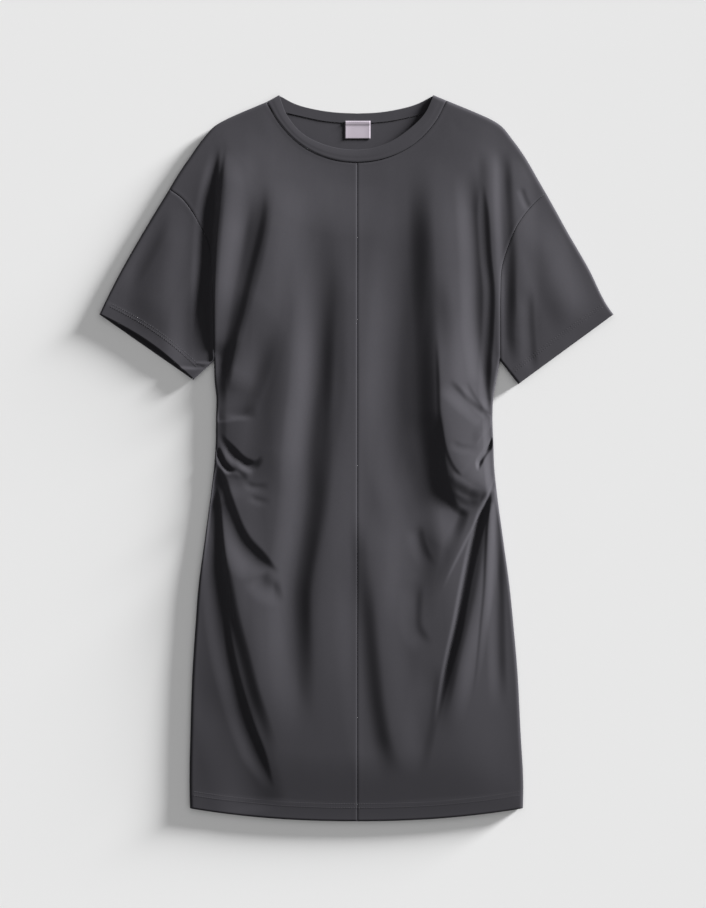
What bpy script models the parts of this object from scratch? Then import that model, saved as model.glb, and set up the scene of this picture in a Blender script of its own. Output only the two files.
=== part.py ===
"""A t-shirt dress with drop shoulders and gathered sides, laid flat on a surface.

The dress lies in the XY plane with the neck towards +Y and the front facing up.
Tables and sizes are in millimetres, and left and right are as seen from above.
Each cut piece is an open skin that is given its cloth thickness inwards.
"""

import math
from collections import namedtuple

import bmesh
import bpy
import numpy as np

MM = 0.001

# Driving sizes
LENGTH = 905.0  # high point of the shoulder to the lowest point of the hem
SPAN = 641.0  # cuff tip to cuff tip
WALL = 1.2  # jersey, with what the stand-in needs to be a wall
BAND_WALL = 2.0  # neckband, folded double
LABEL_WALL = 1.0
SEAM_GAP = 0.3

# Heights above the surface that the dress lies on
SEAM_HEIGHT = 5.0  # middle of the rounded outer edge
EDGE_HEIGHT = 8.0  # front cloth just inside an edge
BODY_HEIGHT = 14.0  # front cloth away from the edges
RIM = 4.5  # width of the rounded outer edge
RISE = 85.0  # distance over which the front climbs from edge to body height
LOWEST = 7.3  # troughs stop here, clear of the back
FLOOR_SOFTNESS = 0.6  # how gently they level out there
FOLD_CLEAR = 14.0  # folds die out this close to a closed edge

# Hem and cuffs are turned up and stand a little proud
HEM_DEPTH = 20.0
HEM_STEP = 0.7
HEM_DROP = 16.1  # the hem's middle below its corners
HEM_CURVE = 2.2
CUFF_DEPTH = 18.0

TOP = LENGTH / 2
BOTTOM = -LENGTH / 2
CUFF_TIP = SPAN / 2
CENTRE = 1.0  # x of the centre front seam
UNDERARM_Y = 121.0

# Rough sizes that place the grid lines
PANEL_WIDTH = 205.0
PANEL_LENGTH = 820.0
ARMHOLE_LENGTH = 228.0
NECK_LENGTH = 140.0

# Neckband: lines across it, its height over the front, its crown and its fall to the free edge
BAND_LINES = (0.0, 0.12, 0.5, 0.88, 1.0)
BAND_STEP = 0.8
BAND_CROWN = 0.6
BAND_FALL = 0.6

# Shares of a front panel's grid: columns under the neck, rows below the underarm
NECK_SHARE = 0.44
SIDE_SHARE = 0.712
NECK_COLUMNS = 8
SHOULDER_COLUMNS = 9
SIDE_ROWS = 28
ARMHOLE_ROWS = 10
SLEEVE_RINGS = 9
BACK_STRIDE = 2  # the back keeps every second interior line of the fronts
CORNER_DROP = 0.9  # the rim keeps this much of its drop at the underarm and the shoulder point
SEAM_LINE = 1.5  # first grid line beside a seam, so that both sides lean alike

# Side seams: height up the dress, then x on the left and right
Side = namedtuple("Side", "y left right")
SIDES = (
    Side(-437.0, -207.6, 207.6),
    Side(-414.0, -208.1, 208.1),
    Side(-339.0, -207.0, 204.5),
    Side(-264.0, -204.4, 200.6),
    Side(-207.0, -200.6, 195.6),
    Side(-170.0, -198.0, 192.0),
    Side(-95.0, -188.2, 182.0),
    Side(-38.0, -180.6, 174.4),
    Side(-8.0, -177.2, 171.6),
    Side(17.0, -175.6, 170.8),
    Side(50.0, -175.2, 169.6),
    Side(74.0, -174.6, 170.6),
    Side(98.0, -177.0, 174.4),
    Side(UNDERARM_Y, -177.5, 179.0),
)

# Outlines of each half, as points (x, y) from the neck outwards or upwards
Half = namedtuple("Half", "sign neck neck_edge back_neck back_edge shoulder overarm armhole cuff bow")
LEFT = Half(
    sign=-1,
    neck=((1, 368), (-18, 369.7), (-37.3, 374.3), (-67.9, 389.5), (-96.5, 418.3), (-112, 444)),
    neck_edge=((1, 383.8), (-18, 385.2), (-37.3, 389.5), (-67.9, 404.9), (-87, 427.9), (-96.5, TOP)),
    back_neck=((1, 417.8), (-20, 418.2), (-45, 421), (-68, 426), (-88, 430.6), (-103, 434.5), (-112, 444)),
    back_edge=((1, 430), (-25, 431.2), (-49, 434.5), (-78, 442.5), (-96.5, TOP)),
    shoulder=((-112, 444), (-130.6, 436.2), (-148.1, 428.8), (-164.4, 421.2), (-176.9, 413.8),
              (-190.6, 398.8), (-206.9, 376.2), (-226.9, 346.2), (-233.4, 335)),
    overarm=((-248.1, 311.2), (-263.1, 286.2), (-291.9, 236.2), (-317.2, 186.2), (-CUFF_TIP, 179)),
    armhole=((-177.5, UNDERARM_Y), (-177.5, 160), (-178.5, 200), (-181, 240), (-185, 270.5),
             (-193.2, 286.8), (-204, 305.8), (-217.6, 323.4), (-233.4, 335)),
    cuff=((-CUFF_TIP, 179), (-203.5, 97.5)),
    bow=6.5,
)
RIGHT = Half(
    sign=1,
    neck=((1, 368), (20, 369.7), (39.3, 374.3), (69.9, 389.5), (98, 418.3), (112.5, 445.6)),
    neck_edge=((1, 383.8), (20, 386), (38, 392), (64, 408.5), (85.3, 429.8), (96.2, TOP)),
    back_neck=((1, 417.8), (22, 418.2), (47, 421), (70, 426), (89, 430.8), (104, 435.5), (112.5, 445.6)),
    back_edge=((1, 430), (27, 431.2), (49, 434.5), (77, 442.3), (96.2, TOP)),
    shoulder=((112.5, 445.6), (135.6, 436.2), (153.1, 428.8), (169.4, 421.2), (180.6, 413.8),
              (193.1, 398.8), (209.4, 376.2), (226.9, 346.2), (236, 330.5)),
    overarm=((246.9, 311.2), (260.6, 286.2), (289.4, 236.2), (315.2, 186.2), (CUFF_TIP, 179)),
    armhole=((179, UNDERARM_Y), (178.8, 160), (179, 203), (181, 238), (189, 265),
             (198.5, 287), (211, 305.5), (222, 318), (236, 330.5)),
    cuff=((CUFF_TIP, 179), (201.8, 92.1)),
    bow=1.0,
)

# Folds of the front: height (troughs below 0), half widths towards -X and +X,
# lengths over which it fades in and out, and its path (x, y) from the top down
Fold = namedtuple("Fold", "name height left right start end path")
FOLDS = (
    Fold("left side ridge", 6.0, 18, 24, 45, 45,
         ((-160, 385), (-160, 350), (-164, 300), (-168, 245), (-171, 200), (-172, 160), (-173, 115))),
    Fold("left sleeve hollow", -5.0, 42, 18, 60, 45,
         ((-186, 360), (-192, 300), (-198, 250), (-201, 200), (-203, 155), (-200, 112))),
    Fold("left side trough", -3.5, 16, 16, 60, 30,
         ((-130, 335), (-139, 290), (-147, 245), (-155, 205), (-162, 165), (-168, 120), (-172, 85))),
    Fold("left breast ridge", 5.0, 24, 44, 70, 45,
         ((-96, 350), (-102, 310), (-110, 262), (-121, 215), (-134, 172), (-145, 132), (-156, 92),
          (-168, 56))),
    Fold("left inner ridge", 3.6, 42, 32, 90, 60,
         ((-88, 350), (-86, 270), (-86, 180), (-87, 110), (-91, 55), (-99, 5), (-106, -50))),
    Fold("left main trough", -4.5, 28, 26, 90, 90,
         ((-44, 350), (-46, 260), (-47, 175), (-50, 105), (-57, 50), (-62, 0), (-64, -50), (-71, -105),
          (-79, -160), (-79, -220), (-75, -290), (-70, -340))),
    Fold("centre left ridge", 3.4, 26, 44, 80, 110,
         ((-6, 275), (-10, 210), (-9, 140), (-9, 95), (-15, 45), (-24, -5), (-30, -60), (-38, -115),
          (-45, -170), (-48, -230), (-51, -300), (-56, -370))),
    Fold("centre right trough", -4.2, 44, 30, 90, 50,
         ((62, 345), (59, 260), (54, 190), (48, 120), (48, 60), (54, 0), (66, -40), (75, -85), (76, -130),
          (70, -175), (72, -215))),
    Fold("right breast ridge", 7.0, 32, 38, 110, 45,
         ((96, 380), (97, 300), (100, 235), (104, 165), (107, 105), (109, 55), (115, 12), (123, -25),
          (134, -62))),
    Fold("right side trough", -3.2, 18, 14, 60, 40,
         ((139, 365), (142, 310), (145, 260), (147, 205), (149, 155), (156, 110), (165, 75))),
    Fold("right side ridge", 4.5, 14, 11, 35, 40,
         ((164, 392), (165, 345), (167, 295), (170, 250), (172, 205), (173, 160), (174, 118))),
    Fold("right armhole trough", -3.4, 12, 12, 30, 60,
         ((181, 388), (181, 345), (182, 300), (184, 255), (186, 205), (186, 150))),
    Fold("right sleeve ridge", 3.6, 13, 22, 35, 40,
         ((196, 378), (197, 340), (200, 300), (202, 250), (200, 200), (199, 155), (204, 112))),
    Fold("left sleeve ridge", 2.2, 34, 34, 50, 50,
         ((-226, 315), (-238, 262), (-252, 205), (-262, 150))),
    Fold("right sleeve bank", 2.2, 30, 34, 50, 50,
         ((222, 300), (240, 245), (258, 195), (274, 150))),
    Fold("left gather swell", 4.5, 34, 46, 40, 40,
         ((-158, 84), (-154, 30), (-152, -20), (-158, -80))),
    Fold("right gather swell", 4.5, 46, 34, 40, 40,
         ((152, 92), (150, 40), (150, -10), (156, -70))),
    Fold("left gather tuck", 2.2, 12, 10, 8, 20, ((-172, 44), (-152, 48), (-128, 58))),
    Fold("left gather trough", -3.4, 9, 9, 8, 14, ((-170, 32), (-154, 14), (-140, -2), (-122, -8))),
    Fold("left gather pinch", -2.6, 8, 8, 6, 10, ((-173, 6), (-166, -9), (-156, -15), (-146, -8))),
    Fold("left skirt trough", -5.5, 12, 12, 16, 30,
         ((-174, -16), (-164, -45), (-153, -72), (-139, -98), (-120, -119), (-98, -138))),
    Fold("left skirt ridge", 5.0, 19, 46, 25, 100,
         ((-173, -30), (-165, -75), (-160, -115), (-152, -155), (-144, -195), (-132, -240), (-120, -285),
          (-105, -330), (-90, -380))),
    Fold("right gather ridge", 2.2, 8, 8, 8, 14, ((170, 46), (156, 36), (144, 18))),
    Fold("right gather trough", -3.2, 8, 8, 8, 10, ((171, 24), (163, 9), (154, -2), (151, -18))),
    Fold("right pleat", 3.4, 13, 12, 14, 60,
         ((171, -22), (160, -50), (147, -77), (134, -104), (120, -137), (108, -172), (100, -215))),
    Fold("right skirt ridge", 5.0, 15, 18, 20, 90,
         ((171, -34), (167, -65), (162, -100), (156, -140), (149, -178), (140, -215), (130, -255),
          (120, -300), (108, -345))),
    Fold("right skirt trough", -2.0, 12, 12, 30, 70,
         ((174, -60), (177, -120), (175, -190), (176, -260), (178, -320))),
    Fold("centre skirt ridge", 2.8, 22, 34, 60, 70,
         ((12, -60), (16, -120), (22, -180), (28, -240), (35, -300), (45, -360), (54, -405))),
)

# Label sewn under the back neckband
Label = namedtuple("Label", "left right bottom step top")
LABEL = Label(-14.3, 17.3, 398.5, 415.0, 420.6)

Finish = namedtuple("Finish", "colour roughness")
JERSEY = Finish((0.066, 0.062, 0.078, 1.0), 0.9)
RIB = Finish((0.072, 0.068, 0.084, 1.0), 0.85)
WOVEN = Finish((0.47, 0.42, 0.48, 1.0), 0.7)


def ease(share):
    """Smooth step from 0 to 1."""
    share = np.clip(share, 0.0, 1.0)
    return share * share * (3.0 - 2.0 * share)


def smooth_route(points):
    """Return a function that runs smoothly through the points as t goes from 0 to 1."""
    knots = np.array(points, dtype=float)
    reach = np.concatenate([[0.0], np.cumsum(np.linalg.norm(np.diff(knots, axis=0), axis=1))])
    slopes = np.gradient(knots, reach, axis=0)

    def at(t):
        place = np.clip(np.asarray(t, dtype=float), 0.0, 1.0) * reach[-1]
        index = np.clip(np.searchsorted(reach, place, side="right") - 1, 0, len(reach) - 2)
        span = (reach[index + 1] - reach[index])[..., None]
        k = (place - reach[index])[..., None] / span
        return ((2 * k**3 - 3 * k**2 + 1) * knots[index] + (k**3 - 2 * k**2 + k) * span * slopes[index]
                + (3 * k**2 - 2 * k**3) * knots[index + 1] + (k**3 - k**2) * span * slopes[index + 1])

    return at


def moved_aside(route, distance, sign):
    """Return the route moved sideways in the plane by a distance."""
    def at(t):
        t = np.asarray(t, dtype=float)
        step = route(t + 0.004) - route(t - 0.004)
        across = np.stack([step[..., 1], -step[..., 0]], axis=-1)
        return route(t) + sign * distance * across / np.linalg.norm(across, axis=-1, keepdims=True)

    return at


def side_x(half, y):
    """Smooth x of a side seam at the given heights."""
    rows = smooth_route([(row.y, row.left if half is LEFT else row.right) for row in SIDES])
    dense = rows(np.linspace(0.0, 1.0, 200))
    return np.interp(y, dense[:, 0], dense[:, 1])


def hem_point(x):
    """Point of the curved hem at x."""
    return np.stack([x, BOTTOM + HEM_DROP * np.abs(x / SIDES[0].right) ** HEM_CURVE], axis=-1)


def hem_corner(half):
    """Corner of the hem on one side."""
    return SIDES[0].left if half is LEFT else SIDES[0].right


def outer_edge(half, v):
    """Side seam up to the underarm, then the armhole up to the overarm."""
    corner_y = BOTTOM + HEM_DROP
    y = corner_y + (UNDERARM_Y - corner_y) * np.clip(v / SIDE_SHARE, 0.0, 1.0)
    side = np.stack([side_x(half, y), y], axis=-1)
    armhole = smooth_route(half.armhole)((v - SIDE_SHARE) / (1.0 - SIDE_SHARE))
    return np.where((v > SIDE_SHARE)[..., None], armhole, side)


def patch(bottom, top, first, last, u, v):
    """Coons patch between four edge functions, at grids of u and v."""
    lines = (1 - v)[..., None] * bottom(u) + v[..., None] * top(u)
    columns = (1 - u)[..., None] * first(v) + u[..., None] * last(v)
    zero, one = np.zeros_like(u), np.ones_like(u)
    corners = (((1 - u) * (1 - v))[..., None] * bottom(zero) + (u * (1 - v))[..., None] * bottom(one)
               + ((1 - u) * v)[..., None] * top(zero) + (u * v)[..., None] * top(one))
    return lines + columns - corners


def nearest(points, line):
    """Distance, side and reach along a line, for each point."""
    start, end = line[:-1], line[1:]
    along = end - start
    length = np.linalg.norm(along, axis=1)
    rel = points[:, None, :] - start[None]
    share = np.clip((rel * along[None]).sum(-1) / (length**2)[None], 0.0, 1.0)
    away = rel - share[..., None] * along[None]
    distance = np.linalg.norm(away, axis=-1)
    best = distance.argmin(axis=1)
    row = np.arange(len(points))
    side = np.sign(along[best, 0] * rel[row, best, 1] - along[best, 1] * rel[row, best, 0])
    reach = np.concatenate([[0.0], np.cumsum(length)])[best] + share[row, best] * length[best]
    return distance[row, best], side, reach


def closed_lines():
    """Outer edges where the front meets the back: sides, underarms, overarms and shoulders."""
    lines = []
    steps = np.linspace(0.0, 1.0, 40)
    for half in (LEFT, RIGHT):
        lines.append(outer_edge(half, steps * SIDE_SHARE))
        lines.append(np.array([half.armhole[0], half.cuff[1]], dtype=float))
        lines.append(smooth_route(half.shoulder + half.overarm)(steps))
        lines.append(np.array([half.neck[-1], half.neck_edge[-1]], dtype=float))
    return lines


def open_lines():
    """Edges left open: hem, cuffs and the front neckline."""
    steps = np.linspace(0.0, 1.0, 24)
    lines = [hem_point(np.linspace(SIDES[0].left, SIDES[0].right, 40))]
    for half in (LEFT, RIGHT):
        lines.append(np.array(half.cuff, dtype=float))
        lines.append(smooth_route(half.neck)(steps))
    return lines


def distance_to(points, lines):
    """Smallest distance from each point to any of the lines."""
    return np.min([nearest(points, line)[0] for line in lines], axis=0)


def fold_height(points):
    """Sum of the folds at each point."""
    total = np.zeros(len(points))
    for fold in FOLDS:
        line = smooth_route(fold.path)(np.linspace(0.0, 1.0, 4 * len(fold.path)))
        distance, side, reach = nearest(points, line)
        length = np.linalg.norm(np.diff(line, axis=0), axis=1).sum()
        width = np.where(side > 0, fold.right, fold.left)
        across = 0.5 + 0.5 * np.cos(np.pi * np.clip(distance / width, 0.0, 1.0))
        total += fold.height * across * ease(reach / fold.start) * ease((length - reach) / fold.end)
    return total


def front_height(plane):
    """Height of the front's outer skin over points in the plane."""
    points = plane.reshape(-1, 2)
    shut = distance_to(points, closed_lines())
    away = np.minimum(shut, distance_to(points, open_lines()))
    height = EDGE_HEIGHT + (BODY_HEIGHT - EDGE_HEIGHT) * ease(away / RISE)
    height += fold_height(points) * ease(shut / FOLD_CLEAR)
    spare = height - LOWEST
    height = LOWEST + 0.5 * (spare + np.sqrt(spare**2 + FLOOR_SOFTNESS**2))
    return height.reshape(plane.shape[:-1])


# Grid lines over a rounded edge, from the inside out: distance from a closed edge,
# distance from an open one, and share of the way down from the skin to the seam
RimLine = namedtuple("RimLine", "closed open drop")
RIM_LINES = (
    RimLine(RIM, 5.0, 0.0),
    RimLine(0.50 * RIM, 2.6, 1.0 - math.sin(math.radians(60))),
    RimLine(0.13 * RIM, 1.2, 1.0 - math.sin(math.radians(30))),
    RimLine(0.02, 0.6, 0.78),
    RimLine(0.0, 0.0, 1.0),
)


def skin(name, places, finish, wall, wrap=False, flip=False):
    """Make a grid, move its corners to places and give it a wall inwards."""
    columns, rows = places.shape[0] - 1, places.shape[1] - 1
    grid = bmesh.new()
    bmesh.ops.create_grid(grid, x_segments=columns, y_segments=rows, size=0.5)
    for corner in grid.verts:
        i = round((corner.co.x + 0.5) * columns)
        j = round((corner.co.y + 0.5) * rows)
        corner.co = [float(value) * MM for value in places[i, j]]
    if wrap:
        bmesh.ops.remove_doubles(grid, verts=grid.verts, dist=0.001 * MM)
    if flip:
        bmesh.ops.reverse_faces(grid, faces=grid.faces)
    mesh = bpy.data.meshes.new(name)
    grid.to_mesh(mesh)
    grid.free()
    mesh.shade_smooth()
    piece = bpy.data.objects.new(name, mesh)
    thickness = piece.modifiers.new("cloth wall", "SOLIDIFY")
    thickness.thickness = wall * MM
    thickness.offset = -1.0
    material = bpy.data.materials.new(name)
    material.use_nodes = True
    shader = material.node_tree.nodes["Principled BSDF"]
    shader.inputs["Base Color"].default_value = finish.colour
    shader.inputs["Roughness"].default_value = finish.roughness
    shader.inputs["Metallic"].default_value = 0.0
    mesh.materials.append(material)
    return piece


def neck_shares(stride):
    """Grid lines along half a neckline, from the centre to the shoulder point."""
    lines = np.linspace(0.0, 1.0, NECK_COLUMNS // stride + 1)
    if stride == 1:
        lines = np.insert(lines, 1, SEAM_LINE / NECK_LENGTH)
    return np.insert(lines, -1, 1.0 - RIM / NECK_LENGTH)


def column_shares(stride):
    """Grid columns from the centre seam to the last one before the rim."""
    shoulder = np.linspace(NECK_SHARE, 1.0, SHOULDER_COLUMNS // stride + 1)
    return np.concatenate([NECK_SHARE * neck_shares(stride), shoulder[1:]])


def row_shares(stride):
    """Grid rows from the hem to the last one before the shoulder's rim."""
    hem = np.array([0.0, HEM_DEPTH - 1.0, HEM_DEPTH + 1.0]) / PANEL_LENGTH
    side = np.linspace(hem[-1], SIDE_SHARE, SIDE_ROWS // stride)
    armhole = np.linspace(SIDE_SHARE, 1.0, ARMHOLE_ROWS // stride + 1)
    return np.concatenate([hem, side[1:], armhole[1:]])


def with_rim(shares, pivot, size, closed):
    """Grid lines whose last one is replaced by the rim lines, and each one's drop."""
    first = RIM_LINES[0].closed if closed else RIM_LINES[0].open
    squeeze = (1.0 - first / size - pivot) / (1.0 - pivot)
    inner = np.where(shares > pivot, pivot + (shares - pivot) * squeeze, shares)
    rim = [1.0 - (line.closed if closed else line.open) / size for line in RIM_LINES]
    drop = [line.drop if closed else 0.0 for line in RIM_LINES]
    return np.concatenate([inner[:-1], rim]), np.concatenate([np.zeros(len(inner) - 1), drop])


def panel_grid(half, neck, centre_x, stride):
    """Plane points of half a body panel, their drop to the seam, and their share of its length."""
    columns, rows = column_shares(stride), row_shares(stride)
    shape = (len(columns) + len(RIM_LINES) - 1, len(rows) + len(RIM_LINES) - 1)
    u, v, drop = np.zeros(shape), np.zeros(shape), np.zeros(shape)
    for i in range(shape[0]):
        under_shoulder = i >= len(columns) or columns[i] > NECK_SHARE - 1e-6
        v[i], drop[i] = with_rim(rows, SIDE_SHARE, ARMHOLE_LENGTH / (1.0 - SIDE_SHARE), under_shoulder)
        if i < len(columns) and abs(columns[i] - NECK_SHARE) < 1e-6:
            drop[i] *= CORNER_DROP
    for j in range(shape[1]):
        below_arm = j < len(rows) and rows[j] < SIDE_SHARE + 1e-6
        u[:, j], side_drop = with_rim(columns, NECK_SHARE, PANEL_WIDTH, below_arm)
        if j < len(rows) and abs(rows[j] - SIDE_SHARE) < 1e-6:
            side_drop = side_drop * CORNER_DROP
        drop[:, j] = np.maximum(drop[:, j], side_drop)
    neck_route, shoulder_route = smooth_route(neck), smooth_route(half.shoulder)

    def top_edge(share):
        shoulder = shoulder_route((share - NECK_SHARE) / (1.0 - NECK_SHARE))
        return np.where((share > NECK_SHARE)[..., None], shoulder, neck_route(share / NECK_SHARE))

    def bottom_edge(share):
        return hem_point(centre_x + (hem_corner(half) - centre_x) * share)

    def centre_edge(share):
        return np.stack([np.full_like(share, centre_x), BOTTOM + (neck[0][1] - BOTTOM) * share], axis=-1)

    return patch(bottom_edge, top_edge, centre_edge, lambda share: outer_edge(half, share), u, v), drop, v


def hem_relief(v):
    """Extra height of the turned hem."""
    return HEM_STEP * (1.0 - ease((v * PANEL_LENGTH - HEM_DEPTH + 1.0) / 2.0))


def lifted(plane, z):
    """Join plane points and heights."""
    return np.concatenate([plane, z[..., None]], axis=-1)


def front_panel(half, name):
    """One half of the front, from the centre seam to the side seam and armhole."""
    plane, drop, v = panel_grid(half, half.neck, CENTRE + half.sign * SEAM_GAP / 2, 1)
    top = front_height(plane) + hem_relief(v)
    seam = SEAM_HEIGHT + SEAM_GAP / 2
    return skin(name, lifted(plane, top + (seam - top) * drop), JERSEY, WALL, flip=half is LEFT)


def back_panel(name):
    """The whole back, flat on the surface and curled up to the seams at its edges."""
    halves = []
    for half in (LEFT, RIGHT):
        plane, drop, _ = panel_grid(half, half.back_neck, CENTRE, BACK_STRIDE)
        halves.append(lifted(plane, (SEAM_HEIGHT - SEAM_GAP / 2) * drop))
    places = np.concatenate([halves[0][::-1], halves[1][1:]])
    return skin(name, places, JERSEY, WALL, flip=True)


def armhole_lines(stride):
    """Places of the panel rows up an armhole, from 0 at the underarm, and each one's drop."""
    rows, drop = with_rim(row_shares(stride), SIDE_SHARE, ARMHOLE_LENGTH / (1.0 - SIDE_SHARE), True)
    arm = rows > SIDE_SHARE + 1e-6
    places = (rows[arm] - SIDE_SHARE) / (1.0 - SIDE_SHARE)
    under = [line.closed / ARMHOLE_LENGTH for line in reversed(RIM_LINES)]
    under_drop = [line.drop for line in reversed(RIM_LINES)]
    return np.concatenate([under, places]), np.concatenate([under_drop, drop[arm]])


def sleeve_layer(half, stride, bow):
    """Plane points of one layer of a sleeve, from overarm to underarm, and their drop."""
    places, drop = armhole_lines(stride)
    across, drop = 1.0 - places[::-1], drop[::-1]
    seam = moved_aside(smooth_route(half.armhole), SEAM_GAP, half.sign)
    outer, inner = np.array(half.cuff, dtype=float)
    along = inner - outer
    inward = np.array([-half.sign * abs(along[1]), abs(along[0])]) / np.linalg.norm(along)
    over = smooth_route((tuple(seam(1.0)),) + half.overarm)
    under = smooth_route((tuple(seam(0.0)), half.cuff[1]))

    def armhole_edge(share):
        return seam(1.0 - share)

    def cuff_edge(share):
        return outer + share[..., None] * along + bow * np.sin(np.pi * share)[..., None] * inward

    steps = np.linspace(0.0, 1.0, SLEEVE_RINGS)
    length = np.linalg.norm(cuff_edge(across) - armhole_edge(across), axis=-1)[:, None]
    body = 1.0 - (CUFF_DEPTH + 1.0) / length
    rings = np.concatenate([0.0 * length, SEAM_LINE / length, body * steps[None, 1:],
                            1.0 - (CUFF_DEPTH - 1.0) / length, 1.0 + 0.0 * length], axis=1)
    u = np.repeat(across[:, None], rings.shape[1], axis=1)
    plane = patch(armhole_edge, cuff_edge, over, under, u, rings)
    relief = np.zeros(rings.shape)
    relief[:, -2:] = HEM_STEP
    return plane, np.repeat(drop[:, None], rings.shape[1], axis=1), relief


def sleeve(half, name):
    """A sleeve as one tube, pressed flat, with its fold at the overarm."""
    front, front_drop, relief = sleeve_layer(half, 1, half.bow)
    back, back_drop, _ = sleeve_layer(half, BACK_STRIDE, 0.0)
    top = front_height(front) + relief
    over = lifted(front, top + (SEAM_HEIGHT - top) * front_drop)
    under = lifted(back, SEAM_HEIGHT * back_drop)
    places = np.concatenate([over, under[::-1][1:]])
    return skin(name, places, JERSEY, WALL, wrap=True, flip=half is LEFT)


def band_layer(seams, edges, stride):
    """Plane points of the neckband's front or back, from left to right, and their drop."""
    rim = [line.closed / NECK_LENGTH for line in RIM_LINES[1:]]
    columns = np.concatenate([neck_shares(stride)[:-1], 1.0 - np.array(rim)])
    drop = np.concatenate([np.zeros(len(columns) - len(rim)), [line.drop for line in RIM_LINES[1:]]])
    halves = []
    for seam, edge in zip(seams, edges):
        start = smooth_route(seam)(columns)[:, None]
        width = smooth_route(edge)(columns)[:, None] - start
        clear = SEAM_GAP / np.linalg.norm(width, axis=-1, keepdims=True)
        halves.append(start + width * (clear + (1.0 - clear) * np.array(BAND_LINES)[None, :, None]))
    plane = np.concatenate([halves[0][::-1], halves[1][1:]])
    drop = np.concatenate([drop[::-1], drop[1:]])
    return plane, np.repeat(drop[:, None], len(BAND_LINES), axis=1)


def neckband(name):
    """The neckband as one ring, folded flat at the two shoulder points."""
    front, front_drop = band_layer((LEFT.neck, RIGHT.neck), (LEFT.neck_edge, RIGHT.neck_edge), 1)
    back, back_drop = band_layer((LEFT.back_neck, RIGHT.back_neck), (LEFT.back_edge, RIGHT.back_edge),
                                 BACK_STRIDE)
    across = np.array(BAND_LINES)[None, :]
    top = front_height(front[:, :1]) + BAND_STEP + BAND_CROWN * np.sin(np.pi * across) - BAND_FALL * across
    over = lifted(front, top + (SEAM_HEIGHT - top) * front_drop)
    under = lifted(back, SEAM_HEIGHT * back_drop)
    places = np.concatenate([over, under[::-1][1:]])
    return skin(name, places, RIB, BAND_WALL, wrap=True)


def label(name):
    """The bare woven label on the back's inner side, under the neckband."""
    x = np.linspace(LABEL.left, LABEL.right, 6)
    y = np.concatenate([np.linspace(LABEL.bottom, LABEL.step, 4), [LABEL.step + 2.0, LABEL.top]])
    x, y = np.meshgrid(x, y, indexing="ij")
    under = WALL + (BAND_WALL - WALL) * ease((y - LABEL.step) / 2.0) + SEAM_GAP
    return skin(name, lifted(np.stack([x, y], axis=-1), under + LABEL_WALL), WOVEN, LABEL_WALL)


def build():
    """Make every piece of the dress in its own collection."""
    for old in list(bpy.data.objects):
        bpy.data.objects.remove(old, do_unlink=True)
    dress = bpy.data.collections.new("t_shirt_dress")
    bpy.context.scene.collection.children.link(dress)
    pieces = [
        front_panel(LEFT, "front_panel_left"),
        front_panel(RIGHT, "front_panel_right"),
        back_panel("back_panel"),
        sleeve(LEFT, "sleeve_left"),
        sleeve(RIGHT, "sleeve_right"),
        neckband("neckband"),
        label("label"),
    ]
    for piece in pieces:
        dress.objects.link(piece)


build()
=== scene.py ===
"""Looks of a t-shirt dress laid flat on a pale floor, front up.

Sizes are in millimetres, as a maker writes them. Left and right are as seen from above, the neck
points to +Y and the front faces +Z.
"""

import logging
import math
from dataclasses import dataclass
from enum import Enum
from typing import Any, Callable, NamedTuple

import bpy
import numpy as np
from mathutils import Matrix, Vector


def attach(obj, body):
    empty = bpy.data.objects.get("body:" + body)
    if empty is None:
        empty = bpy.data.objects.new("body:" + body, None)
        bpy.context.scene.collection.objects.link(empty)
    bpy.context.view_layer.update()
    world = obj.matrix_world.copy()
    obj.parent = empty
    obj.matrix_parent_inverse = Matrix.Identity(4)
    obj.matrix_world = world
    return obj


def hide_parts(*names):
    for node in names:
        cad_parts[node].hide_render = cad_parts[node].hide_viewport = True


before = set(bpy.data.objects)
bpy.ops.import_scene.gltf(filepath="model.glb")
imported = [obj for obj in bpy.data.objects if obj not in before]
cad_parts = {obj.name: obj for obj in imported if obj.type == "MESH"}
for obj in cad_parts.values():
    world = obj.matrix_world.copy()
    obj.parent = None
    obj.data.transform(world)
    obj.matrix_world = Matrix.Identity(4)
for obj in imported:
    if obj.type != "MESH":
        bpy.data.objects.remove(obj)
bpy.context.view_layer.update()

Array = np.ndarray
Route = Callable[[Array], Array]
Points = tuple[tuple[float, float], ...]

MM = 0.001
log = logging.getLogger("dress")


# Outlines


class Half(Enum):
    """The two halves of the dress."""

    LEFT = -1
    RIGHT = 1


@dataclass(frozen=True)
class DressSizes:
    """Driving sizes of the whole dress."""

    length: float = 905.0
    span: float = 641.0
    wall: float = 1.2
    band_wall: float = 2.0
    label_wall: float = 1.0
    seam_gap: float = 0.3
    centre: float = 1.0
    underarm: float = 121.0
    hem_depth: float = 20.0
    hem_step: float = 0.45
    hem_lead: float = 1.5
    hem_ease: float = 4.0
    hem_drop: float = 16.1
    hem_curve: float = 2.2
    cuff_depth: float = 18.0
    cuff_step: float = 0.22

    @property
    def top(self) -> float:
        """Height of the shoulder's highest point up the dress."""
        return self.length / 2

    @property
    def bottom(self) -> float:
        """Lowest point of the hem."""
        return -self.length / 2

    @property
    def cuff_tip(self) -> float:
        """Distance of a cuff's tip from the middle."""
        return self.span / 2


SIZES = DressSizes()


class SideRow(NamedTuple):
    """Where the side seams lie at one height."""

    y: float
    left: float
    right: float


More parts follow.
